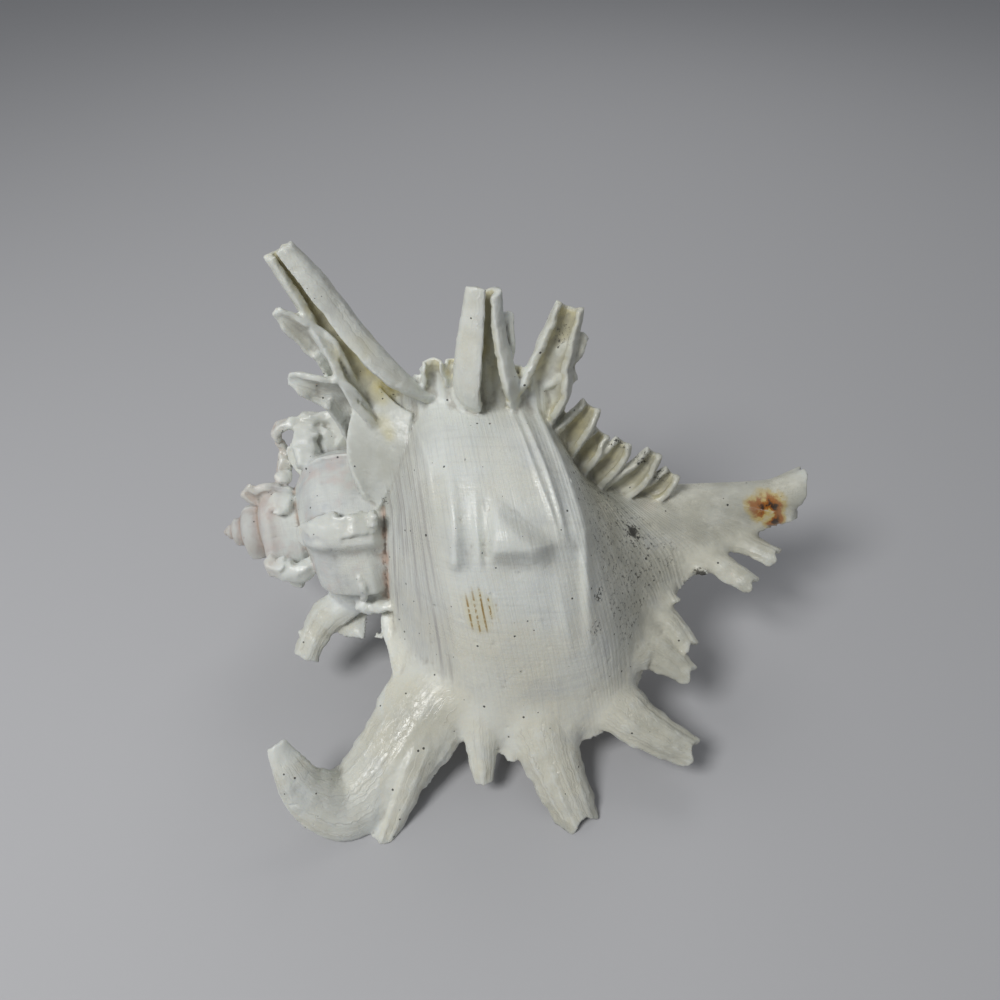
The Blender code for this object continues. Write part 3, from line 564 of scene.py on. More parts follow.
def frondSheet(varixBack, rootX, line, halfWidths, kind, seed):
    # grid of points for the middle of a frond, then its thickness in front and behind
    look = frondKinds[kind]
    steps, across = fineness["sheet"]
    scale = float(growth(varixBack))
    sheet = look["sheet"]
    knots = []
    first = line[0][2] if varixBack == 0.0 else 0.0
    for further, sunk in frondRoots["lip" if varixBack == 0.0 else "other"]:
        behind = first + further
        at = varixBack + (behind if behind > 4.0 else 1.0)
        knots.append((rootX, float(coilRadius(rootX, at)) - sheet * sunk, varixBack + behind))
    knots += [(x, r, varixBack + b) for x, r, b in line]
    if varixBack == 0.0:
        x, r, b = knots[3]
        knots[3] = (x, r - 0.6 * sheet, b)
    path = smoothLine(knots, steps)
    widths = [halfWidths[0] + 2.5 * scale] * 2 + [halfWidths[0] + scale] + list(halfWidths)
    width = smoothLine([[w] for w in widths], steps)
    middle = place(path[:, 0], path[:, 1], path[:, 2])
    tangent = unit(np.gradient(middle, axis=0))
    turn = np.radians(coil["lipAngle"] + path[:, 2])
    outward = np.stack([0 * turn, -np.cos(turn), np.sin(turn)], axis=-1)
    slope = float(coilRadius(rootX + 2.0, varixBack + 1.0) - coilRadius(rootX - 2.0, varixBack + 1.0)) / 4.0
    rootLean = unit(np.array([-np.clip(slope, -1.5, 1.5), 1.0]))
    lean = np.stack([tangent[:, 0], (tangent * outward).sum(-1)], axis=-1)
    along = np.linspace(0.0, 1.0, steps)
    free = smoothStep(along * len(knots) / 3.0 - 0.5)[:, None]
    lean = unit((1.0 - free) * rootLean + free * lean)
    side = lean[:, 1:] * np.array([1.0, 0.0, 0.0]) - lean[:, :1] * outward
    ahead = unit(np.cross(side, tangent))

    v = np.linspace(-1.0, 1.0, across)[None, :]
    length = np.linalg.norm(np.diff(middle, axis=0), axis=1).sum() * 1000.0
    # ragged sides: each tooth leans towards the tip
    tooth = (along[:, None] * length / 5.5 + 0.37 * seed + 0.5 * (v > 0)) % 1.0
    ragged = 1.0 + look["teeth"] * free * (tooth**2 - 0.3) * np.abs(v) ** 3
    angles = look["curl"]
    opened = free if len(angles) == 2 else along[:, None]
    curl = np.radians(np.interp(opened, np.linspace(0.0, 1.0, len(angles)), angles))
    reach = np.sin(np.minimum(curl, math.pi / 2))
    bend = curl * v + math.radians(look.get("turned", 0.0)) * free
    spread = width * ragged * np.sin(bend) / reach
    fold = width * (1.0 - np.cos(bend)) / reach * np.where(curl > 1.3, 0.8, 1.0)
    folded = spread[..., None] * side[:, None, :] + fold[..., None] * ahead[:, None, :]
    points = middle[:, None, :] + folded / 1000.0
    bumps = latticeNoise(points * 1000.0, 5.5, 50 + seed)
    bumps = bumps + 0.4 * latticeNoise(points * 1000.0, 1.6, 90 + seed)
    points = points + (look["crumple"] * free * bumps / 1000.0)[..., None] * ahead[:, None, :]
    bumps = latticeNoise(points * 1000.0, 3.5, 130 + seed)
    points = points + (look["crumple"] * free * np.abs(v) * bumps / 1000.0)[..., None] * side[:, None, :]
    # broken tip
    missingAt, missing = zip(*tipShapes[look["tip"]])
    cut = np.interp(v[0], missingAt, missing) * halfWidths[-1] / 5.0
    nearTip = smoothStep((along - 1.0 + 9.0 / length) * length / 9.0)[:, None]
    points = points - (nearTip * cut[None, :])[..., None] * tangent[-1] / 1000.0
    # thickness
    body = sheet * (1.0 - (1.0 - look["edge"]) * np.abs(v) ** 2.5) * (1.0 - 0.25 * nearTip)
    ribs = np.zeros((steps, across))
    for ribPlace, rise, halfWidth in look["ribs"]:
        wander = 0.05 * np.sin(along * 6.0 + seed + ribPlace * 9.0)[:, None]
        ribs += rise * np.exp(-(((v - ribPlace - wander) / halfWidth) ** 2))
    ribs *= (0.1 + 0.9 * free**1.5) * (0.75 + 0.25 * np.sin(along * length / 2.7 + seed)[:, None])
    behind = body / 2.0 + ribs * min(1.0, float(halfWidths[0]) / 6.0)
    return points, body / 2.0, behind


def thickBody(surface, front, behind):
    # a grid of points with a thickness on each side, closed round its border
    rows, columns = surface.shape[:2]
    normal = unit(np.cross(np.gradient(surface, axis=0), np.gradient(surface, axis=1)))
    upper = (surface + normal * behind[..., None] / 1000.0).reshape(-1, 3)
    lower = (surface - normal * front[..., None] / 1000.0).reshape(-1, 3)
    count = rows * columns
    border = list(range(columns)) + [i * columns + columns - 1 for i in range(1, rows)]
    border += [(rows - 1) * columns + j for j in range(columns - 2, -1, -1)]
    border += [i * columns for i in range(rows - 2, 0, -1)]
    one = np.array(border)
    two = np.roll(one, -1)
    faces = [gridFaces(rows, columns), gridFaces(rows, columns, count)[:, ::-1]]
    faces += [np.stack([two, one, one + count], -1), np.stack([two, one + count, two + count], -1)]
    return np.vstack([upper, lower]), np.vstack(faces)


def wingBody(innerLine, outerLine):
    steps, across = wings["steps"]
    inner = smoothLine(innerLine, steps)[:, None, :]
    outer = smoothLine(outerLine, steps)[:, None, :]
    share = np.linspace(0.0, 1.0, across)[None, :, None]
    line = inner + (outer - inner) * share
    hollow = wings["hollow"] * np.sin(math.pi * share[..., 0])
    surface = place(line[..., 0], line[..., 1] - hollow, line[..., 2])
    count, rise = wings["ridges"]
    turns = np.linspace(0.0, 1.0, steps)[:, None] ** 0.8 * count
    ridges = rise * np.sin(turns * 2.0 * math.pi + share[..., 0])
    ridges = ridges * (0.6 + 0.4 * np.sin(np.linspace(0.0, 9.0, steps)[:, None]))
    half = wings["sheet"] / 2.0 + 0.0 * ridges
    return surface, half + ridges, half + ridges


def lumpBody(line, halfWidths, halfHeights, rough, seed):
    # a boxy bar with broken faces, swept along its line
    steps, around = lumpSteps
    path = smoothLine(line, steps)
    size = smoothLine(np.stack([halfWidths, halfHeights], -1), steps)
    middle = place(path[:, 0], path[:, 1], path[:, 2]) * 1000.0
    tangent = unit(np.gradient(middle, axis=0))
    turn = np.radians(coil["lipAngle"] + path[:, 2])
    outward = np.stack([0 * turn, -np.cos(turn), np.sin(turn)], axis=-1)
    side = unit(np.cross(tangent, outward))
    up = unit(np.cross(side, tangent))
    angle = np.linspace(0.0, 2.0 * math.pi, around, endpoint=False)[None, :]
    boxy = np.stack([np.cos(angle), np.sin(angle)], -1)
    boxy = np.sign(boxy) * np.abs(boxy) ** 0.45
    closing = np.sqrt(np.clip(1.0 - np.abs(np.linspace(-1.0, 1.0, steps)) ** 7, 0.0, 1.0))[:, None, None]
    across = boxy[..., :1] * size[:, None, :1] * side[:, None, :]
    outwards = boxy[..., 1:] * size[:, None, 1:] * up[:, None, :]
    points = middle[:, None, :] + closing * (across + outwards)
    # chips: flat breaks across the lump
    random = np.random.default_rng(seed)
    for _ in range(lumpChips):
        station = random.integers(2, steps - 2)
        turned = random.uniform(0.0, 2.0 * math.pi)
        half = size[station]
        facing = math.cos(turned) * side[station] + math.sin(turned) * up[station]
        facing = unit(facing + random.uniform(-0.35, 0.35) * tangent[station])
        offset = points - middle[station]
        reached = math.hypot(half[0] * math.cos(turned), half[1] * math.sin(turned))
        over = np.clip(offset @ facing - reached * random.uniform(0.8, 1.0), 0.0, None)
        over = over * (np.linalg.norm(offset, axis=-1) < 1.6 * half.max())
        points = points - over[..., None] * facing
    bumps = latticeNoise(points, 3.4, seed) + 0.8 * latticeNoise(points, 1.5, seed + 5)
    away = unit(points - middle[:, None, :])
    points = points + (rough * bumps)[..., None] * away * closing
    grid = points.reshape(-1, 3) / 1000.0
    i, j = np.meshgrid(np.arange(steps - 1), np.arange(around), indexing="ij")
    one, two = (i * around + j).ravel(), (i * around + (j + 1) % around).ravel()
    faces = [np.stack([one, two, two + around], -1), np.stack([one, two + around, one + around], -1)]
    return grid, np.vstack(faces)


def joined(bodies):
    points, faces, offset = [], [], 0
    for bodyPoints, bodyFaces in bodies:
        points.append(bodyPoints)
        faces.append(bodyFaces + offset)
        offset += len(bodyPoints)
    return np.vstack(points), np.vstack(faces)


def meshFrom(name, points, triangles):
    mesh = bpy.data.meshes.new(name)
    mesh.vertices.add(len(points))
    mesh.vertices.foreach_set("co", points.astype(np.float32).ravel())
    mesh.loops.add(3 * len(triangles))
    mesh.loops.foreach_set("vertex_index", triangles.astype(np.int32).ravel())
    mesh.polygons.add(len(triangles))
    mesh.polygons.foreach_set("loop_start", np.arange(0, 3 * len(triangles), 3, dtype=np.int32))
    mesh.update(calc_edges=True)
    return mesh


def newObject(name, mesh):
    made = bpy.data.objects.new(name, mesh)
    bpy.context.scene.collection.objects.link(made)
    return made


def evaluatedMesh(thing):
    # the mesh after the modifiers, which are then removed
    bpy.context.view_layer.update()
    result = bpy.data.meshes.new_from_object(thing.evaluated_get(bpy.context.evaluated_depsgraph_get()))
    thing.modifiers.clear()
    return result


def pointsOf(mesh):
    flat = np.empty(3 * len(mesh.vertices), np.float32)
    mesh.vertices.foreach_get("co", flat)
    return flat.reshape(-1, 3).astype(float)


def shellBodies():
    # every body to be fused, and the middle surfaces of the fronds for their markings
    bodies, sheets, seed = [coilBody()], [], 0
    for edges in wings["edges"]:
        bodies.append(thickBody(*wingBody(*edges)))
    varices = ((0.0, lipFronds), (120.0, topFronds), (240.0, underFronds))
    everyFrond = [(back, *frond) for back, fronds in varices for frond in fronds]
    everyFrond += [(float(back), *stub, "stub") for back, *stub in spireStubs]
    for varixBack, rootX, line, halfWidths, kind in everyFrond:
        seed += 1
        surface, front, behind = frondSheet(varixBack, rootX, line, halfWidths, kind, seed)
        bodies.append(thickBody(surface, front, behind))
        sheets.append((surface, halfWidths[0], kind, seed))
    for line, halfWidths, halfHeights, rough in spireLumps:
        seed += 1
        bodies.append(lumpBody(line, halfWidths, halfHeights, rough, seed))
    return bodies, sheets


def edgeEnds(mesh):
    ends = np.empty(2 * len(mesh.edges), np.int32)
    mesh.edges.foreach_get("vertices", ends)
    one, two = ends.reshape(-1, 2).T
    count = np.bincount(one, minlength=len(mesh.vertices)) + np.bincount(two, minlength=len(mesh.vertices))
    return one, two, np.maximum(count, 1)


def averaged(values, ends):
    # the mean of the neighbours of each point
    one, two, count = ends
    columns = values.reshape(len(count), -1).T
    sums = [np.bincount(one, c[two], len(count)) + np.bincount(two, c[one], len(count)) for c in columns]
    return (np.array(sums) / count).T.reshape(values.shape)


def rootsBlended(mesh):
    # the roots of the fronds run out into the whorl without a seam
    points = pointsOf(mesh)
    x, r, back = shellPlace(points)
    behind = back % 120.0
    height = np.abs(r - coilRadius(x, back))
    weight = smoothStep((behind - 0.5) / 4.0) * smoothStep((30.0 - behind) / 9.0)
    weight = weight * smoothStep(2.1 - height / 4.0)
    weight = (0.65 * weight * (x > 60.0))[:, None]
    ends = edgeEnds(mesh)
    for _ in range(fineness["blending"]):
        points = points + weight * (averaged(points, ends) - points)
    mesh.vertices.foreach_set("co", points.astype(np.float32).ravel())
    mesh.update()


def setFloats(mesh, name, values):
    if name not in mesh.attributes:
        mesh.attributes.new(name, "FLOAT", "POINT")
    mesh.attributes[name].data.foreach_set("value", np.asarray(values, np.float32).ravel())


# Spiral cords: where they are closest, and how strong they are along the outline
cords = {
    "spacing": [(60, 1.5), (86, 3.1), (131, 2.3), (200, 2.3)],
    "strength": [
        (63, 0), (66, 1.0), (84, 0.95), (89, 0.4), (100, 0.2), (122, 0.3), (133, 0.45), (150, 0.9),
        (190, 0.7),
    ],
    "spireShare": 0.35,
    "bunching": (2.6, 30.0),        # how far cords lean towards the lip's spines, over how many degrees
    "bunches": [(65, -0.5), (78, 0), (105, 1), (128, 2), (148, 3), (170, 4)],
}


def cordPhase(back, along):
    # counts the cords from the suture on: a whole number is the top of one
    amount, overBack = cords["bunching"]
    bunch = np.interp(along, *zip(*cords["bunches"]))
    along = along + amount * smoothStep((overBack - back) / overBack) * np.sin(2.0 * math.pi * bunch)
    fine = np.arange(55.0, 202.0, 0.25)
    starts, spacings = zip(*cords["spacing"])
    step = np.array(spacings)[np.searchsorted(starts, fine, side="right").clip(1) - 1]
    return np.interp(along, fine, np.cumsum(0.25 / step))


def markCoil(mesh):
    # how each point lies on the coil, for the sculpture and the markings
    points = pointsOf(mesh)
    x, r, back = shellPlace(points)
    outer, along, wholeBack, lead = coilSurface(x, back)
    outer = coilRadius(x, back)
    near = smoothStep(1.35 - np.abs(r - outer) / 1.2)
    strength = np.interp(along, *zip(*cords["strength"])) * growth(wholeBack)
    strength = strength * np.where(wholeBack > 345.0, cords["spireShare"], 1.0)
    setFloats(mesh, "cordPhase", cordPhase(wholeBack, along))
    setFloats(mesh, "cordShare", near * strength)
    setFloats(mesh, "coilShare", near)
    setFloats(mesh, "back", wholeBack)
    setFloats(mesh, "along", along)
    return points, x, r, back, outer, along, wholeBack, lead, near


sculpture = {
    "Cord Height": 0.17,
    "Growth Height": 0.10,
    "Growth Spacing": 1.9,
    "Weathering Height": 0.34,
    "Weathering Size": 3.4,
    "Pit Depth": 0.28,
    "Pit Spacing": 3.1,
    "Seed": 4.0,
}


def hexColour(code):
    # sRGB hex to linear
    parts = [int(code[n:n + 2], 16) / 255.0 for n in (1, 3, 5)]
    return (*[p / 12.92 if p <= 0.04045 else ((p + 0.055) / 1.055) ** 2.4 for p in parts], 1.0)


def addNode(tree, kind, inputs=(), output=0, **settings):
    # a node with its settings; an input is linked where it is a socket, or else takes the value
    made = tree.nodes.new(kind)
    for name, value in settings.items():
        setattr(made, name, value)
    for socket, value in inputs.items() if isinstance(inputs, dict) else enumerate(inputs):
        if isinstance(value, bpy.types.NodeSocket):
            tree.links.new(value, made.inputs[socket])
        else:
            made.inputs[socket].default_value = value
    return made.outputs[output] if len(made.outputs) else made


def chained(tree, operation, values):
    # sum or product of several values
    result = values[0]
    for value in values[1:]:
        result = addNode(tree, "ShaderNodeMath", (result, value), operation=operation)
    return result


def sculptureTree():
    tree = bpy.data.node_groups.new("shellSculpture", "GeometryNodeTree")
    tree.interface.new_socket("Geometry", in_out="INPUT", socket_type="NodeSocketGeometry")
    for name, value in sculpture.items():
        tree.interface.new_socket(name, in_out="INPUT", socket_type="NodeSocketFloat").default_value = value
    tree.interface.new_socket("Material", in_out="INPUT", socket_type="NodeSocketMaterial")
    tree.interface.new_socket("Geometry", in_out="OUTPUT", socket_type="NodeSocketGeometry")
    given = tree.nodes.new("NodeGroupInput").outputs
    add = partial(addNode, tree)
    mark = {}
    for name in ("cordPhase", "cordShare", "coilShare", "back", "along"):
        mark[name] = add("GeometryNodeInputNamedAttribute", {"Name": name}, "Attribute", data_type="FLOAT")

    def times(*values):
        return chained(tree, "MULTIPLY", values)

    # rounded cords, counted by the phase; slower waves make them uneven in height and width
    turn = times(mark["cordPhase"], 2.0 * math.pi)
    cord, uneven, wide = [
        add("ShaderNodeMath", (times(turn, rate),), operation="COSINE") for rate in (1.0, 0.37, 0.23)]
    uneven = add("ShaderNodeMath", (uneven, 0.45, 0.55), operation="MULTIPLY_ADD")
    cord = add("ShaderNodeMath", (wide, 0.6, times(cord, uneven)), operation="MULTIPLY_ADD")
    cord = times(cord, mark["cordShare"], given["Cord Height"])
    # growth lines, which wander a little along the whorl
    grown = add("ShaderNodeMath", (mark["back"], given["Growth Spacing"]), operation="DIVIDE")
    lines = add("ShaderNodeCombineXYZ", (grown, times(mark["along"], 0.07), given["Seed"]))
    wave = add("ShaderNodeTexNoise", {"Vector": lines, "Scale": 1.0, "Detail": 2.0})
    growthLine = add("ShaderNodeMath", (wave, 0.5), operation="SUBTRACT")
    growthLine = times(growthLine, given["Growth Height"], 2.0, mark["coilShare"])
    # weathered lumps everywhere, and pits where the lumps are high
    place = add("GeometryNodeInputPosition")
    scaled = []
    for name in ("Weathering Size", "Pit Spacing"):
        perMetre = add("ShaderNodeMath", (1000.0, given[name]), operation="DIVIDE")
        scaled.append(add("ShaderNodeVectorMath", {0: place, "Scale": perMetre}, operation="SCALE"))
    lumps = add("ShaderNodeTexNoise", {"Vector": scaled[0], "Scale": 1.0, "Detail": 3.0, "W": given["Seed"]},
                noise_dimensions="4D")
    offCoil = add("ShaderNodeMapRange", (mark["coilShare"], 0.0, 1.0, 2.0, 0.7),
                  interpolation_type="SMOOTHSTEP")
    lump = add("ShaderNodeMath", (lumps, 0.5), operation="SUBTRACT")
    lump = times(lump, given["Weathering Height"], offCoil)
    cells = add("ShaderNodeTexVoronoi", {"Vector": scaled[1], "Scale": 1.0})
    pit = add("ShaderNodeMapRange", (cells, 0.1, 0.3, 1.0, 0.0), interpolation_type="SMOOTHSTEP")
    where = add("ShaderNodeMapRange", (lumps, 0.5, 0.6), interpolation_type="SMOOTHSTEP")
    pit = times(pit, where, given["Pit Depth"], -1.0)
    height = times(chained(tree, "ADD", (cord, growthLine, lump, pit)), 0.001)
    normal = add("GeometryNodeInputNormal")
    offset = add("ShaderNodeVectorMath", {0: normal, "Scale": height}, operation="SCALE")
    moved = add("GeometryNodeSetPosition", {"Geometry": given["Geometry"], "Offset": offset})
    real = add("GeometryNodeRealizeInstances", {"Geometry": moved})
    coated = add("GeometryNodeSetMaterial", {"Geometry": real, "Material": given["Material"]})
    add("NodeGroupOutput", {"Geometry": coated})
    return tree


def cutLevel(mesh, height):
    # the feet end flat on the ground, closed again
    work = bmesh.new()
    work.from_mesh(mesh)
    bmesh.ops.bisect_plane(work, geom=work.verts[:] + work.edges[:] + work.faces[:], dist=1e-7,
                           plane_co=(0, 0, height), plane_no=(0, 0, -1), clear_outer=True)
    rim = [edge for edge in work.edges if edge.is_boundary]
    filled = bmesh.ops.holes_fill(work, edges=rim, sides=0)["faces"]
    bmesh.ops.triangulate(work, faces=filled)
    bmesh.ops.dissolve_degenerate(work, dist=1e-7, edges=work.edges[:])
    bmesh.ops.triangulate(work, faces=work.faces[:])
    work.to_mesh(mesh)
    work.free()


# Marks of this one shell, and places of painted shade, as (world place in millimetres, radius, strength)
marks = {
    "rust": [
        ((83.6, 17.9, 56.8), 9.0, 1.0), ((86.5, 16.2, 52.5), 5.5, 0.85), ((79.0, 18.5, 57.5), 6.0, 0.6),
        ((80.0, 18.0, 50.0), 5.0, 0.5), ((82.0, 20.0, 62.0), 6.0, 0.5),
    ],
    "soot": [
        ((60.8, 0.4, 42.4), 4.6, 2.4), ((37.3, 4.8, 58.3), 5.2, 2.1), ((24.3, -24.6, 62.4), 4.5, 1.2),
        ((26.8, -18.0, 67.0), 6.0, 0.8), ((23.4, -30.0, 54.0), 6.0, 0.8), ((30.0, -8.0, 66.0), 7.0, 0.6),
        # painted shade: the marks at (-62.2, 27.3, 140.5) and (-60.7, 26.4, 135.4) darken the slit of the long
        # spine
        ((25.9, -11.5, 71.5), 5.0, 0.9), ((25.2, -32.9, 42.7), 6.0, 0.35), ((-62.2, 27.3, 140.5), 4.5, 0.9),
        ((-60.7, 26.4, 135.4), 3.5, 0.7), ((-36.5, 22.5, 98.0), 2.6, 0.8), ((-67.0, -56.0, 33.0), 2.4, 0.6),
        ((-65.5, -56.3, 28.6), 2.0, 0.6), ((-62.3, -56.4, 25.5), 1.8, 0.6), ((-51.2, -67.7, 3.4), 3.0, 0.5),
        ((-40.2, -67.3, 1.2), 2.5, 0.5), ((-74.0, 32.9, 75.5), 4.5, 1.0), ((26.4, -59.5, 0.1), 3.5, 0.5),
        ((-45.2, -12.4, 25.6), 2.4, 0.9), ((-61.2, -11.2, 26.7), 3.0, 0.6), ((33.0, 23.0, 82.0), 8.0, 1.0),
        ((40.2, 23.0, 74.7), 7.5, 1.0), ((47.4, 21.9, 67.2), 6.5, 0.9), ((-39.3, 5.1, 71.8), 3.0, 0.8),
        ((-41.7, -4.3, 59.7), 2.4, 0.7), ((14.3, 25.4, 117.0), 7.0, 0.9), ((-4.0, 25.0, 124.0), 3.0, 0.3),
    ],
    "yellow": [
        ((-38.3, 23.2, 101.6), 7.0, 1.15), ((-42.0, 22.0, 108.0), 8.0, 1.1),
        ((-45.4, 20.4, 114.5), 9.0, 0.95),
        ((-7.2, 24.8, 114.3), 5.0, 0.5), ((-7.0, 24.0, 106.0), 4.0, 0.5), ((83.0, 18.0, 56.0), 9.0, 0.5),
    ],
    # painted shade: broad darker patches over the left of the spire and the body
    "dull": [
        ((-41.0, 10.0, 84.0), 26.0, 1.0), ((-40.0, 14.0, 100.0), 18.0, 0.7),
        ((-32.0, -16.0, 84.0), 24.0, 0.6), ((-34.0, -40.0, 60.0), 24.0, 0.5),
        ((-30.0, -45.0, 22.0), 18.0, 0.6), ((-60.0, 30.0, 80.0), 22.0, 0.5),
    ],
    "pink": [
        ((88.7, 15.1, 51.7), 3.5, 0.7), ((33.0, 14.0, 71.0), 6.0, 0.35), ((44.0, 15.0, 62.0), 6.0, 0.35),
    ],
}
# Four short yellow-brown grooves below the knobs: place along, first and last degrees back
grooveLines = [(92.0, 37, 47), (94.0, 35.5, 48), (96.2, 37, 49), (98.7, 41, 47)]
grooveHalfWidth = 1.1


def softened(mesh, names, rounds):
    # marks spread over their neighbours, so that they end softly
    ends = edgeEnds(mesh)
    for name, times in zip(names, rounds):
        values = np.empty(len(mesh.vertices), np.float32)
        mesh.attributes[name].data.foreach_get("value", values)
        for _ in range(times):
            values = 0.4 * values + 0.6 * averaged(values, ends)
        setFloats(mesh, name, values)


def seamless(mesh, values, step):
    # 0 where the values jump between neighbours, rising to 1 a few points away
    ends = edgeEnds(mesh)
    torn = np.abs(values[ends[0]] - values[ends[1]]) > step
    jump = np.zeros(len(values))
    jump[np.concatenate([ends[0][torn], ends[1][torn]])] = 1.0
    spread = jump
    for _ in range(12):
        spread = np.maximum(jump, averaged(spread, ends))
    return 1.0 - spread


def creases(mesh, points):
    # how many millimetres each point lies below its surroundings, in hollows, or above them, on edges
    normals = np.empty(3 * len(points), np.float32)
    mesh.vertices.foreach_get("normal", normals)
    ends = edgeEnds(mesh)
    around = points.copy()
    for _ in range(10):
        around = 0.4 * around + 0.6 * averaged(around, ends)
    return 1000.0 * ((around - points) * normals.reshape(-1, 3)).sum(axis=1)


def markSurface(mesh, sheets):
    points, x, r, back, outer, along, wholeBack, lead, near = markCoil(mesh)
    setFloats(mesh, "crease", creases(mesh, points))
    # sutures: where two turns are level
    setFloats(mesh, "suture", np.exp(-((lead / 1.3) ** 2)) * near * (x < 74.0))
    setFloats(mesh, "spire", smoothStep((60.0 - x) / 14.0) * near * (wholeBack > 300.0))
    setFloats(mesh, "apex", smoothStep((26.0 - x) / 8.0))
    # inside the mouth
    depth = outer - r
    setFloats(mesh, "inside", smoothStep((depth - 1.5) / 2.0) * (x > 40.0) * (x < 152.0) * (r > 8.0))
    for name, spots in marks.items():
        total = np.zeros(len(points))
        for middle, radius, strength in spots:
            distance = np.linalg.norm(points * 1000.0 - np.array(middle), axis=1)
            total = np.maximum(total, strength * smoothStep(1.0 - distance / radius))
        setFloats(mesh, name, total)
    groove = np.zeros(len(points))
    for middle, low, high in grooveLines:
        ends = smoothStep((wholeBack - low + 1.5) / 2.0) * smoothStep((high + 1.5 - wholeBack) / 2.0)
        groove = np.maximum(groove, smoothStep(1.0 - np.abs(along - middle) / (2.0 * grooveHalfWidth)) * ends)
    setFloats(mesh, "grooves", groove * near)
    # fronds: nearest point of a middle surface
    tree = KDTree(sum(surface.shape[0] * surface.shape[1] for surface, *_ in sheets))
    table = []
    for surface, halfWidth, kind, seed in sheets:
        rows, columns = surface.shape[:2]
        normal = unit(np.cross(np.gradient(surface, axis=0), np.gradient(surface, axis=1))).reshape(-1, 3)
        across = np.broadcast_to(np.linspace(-1.0, 1.0, columns)[None, :], (rows, columns)).ravel()
        lengthwise = np.broadcast_to(np.linspace(0.0, 1.0, rows)[:, None], (rows, columns)).ravel()
        hollow = 1.0 if kind in ("channel", "closedChannel", "longSpine", "scale") else 0.0
        for point in surface.reshape(-1, 3):
            tree.insert(point, len(table))
            table.append(len(table))
        table[-rows * columns:] = np.column_stack([
            across * halfWidth + 20.0 * seed, lengthwise, normal, surface.reshape(-1, 3),
            np.full(rows * columns, hollow)]).tolist()
    tree.balance()
    values = np.zeros((len(points), 4))
    for index in np.flatnonzero(near < 0.98):
        _, found, distance = tree.find(points[index])
        if distance < 0.0045:
            row = table[found]
            side = np.dot(points[index] - np.array(row[5:8]), row[2:5])
            values[index] = (row[0], row[1], 1.0, row[8] * (side < 0.0))
    for column, name in enumerate(("frondAcross", "frondAlong", "frondShare", "hollowSide")):
        setFloats(mesh, name, values[:, column])
    softened(mesh, ("frondShare", "hollowSide", "coilShare", "inside", "suture"), (14, 2, 16, 4, 5))
    # ribs fade out where one frond's own coordinates end, so that no seam shows
    share = np.empty(len(points), np.float32)
    mesh.attributes["frondShare"].data.foreach_get("value", share)
    share = share * seamless(mesh, values[:, 0], 3.0) * smoothStep((values[:, 1] - 0.2) / 0.3)
    setFloats(mesh, "frondShare", share)


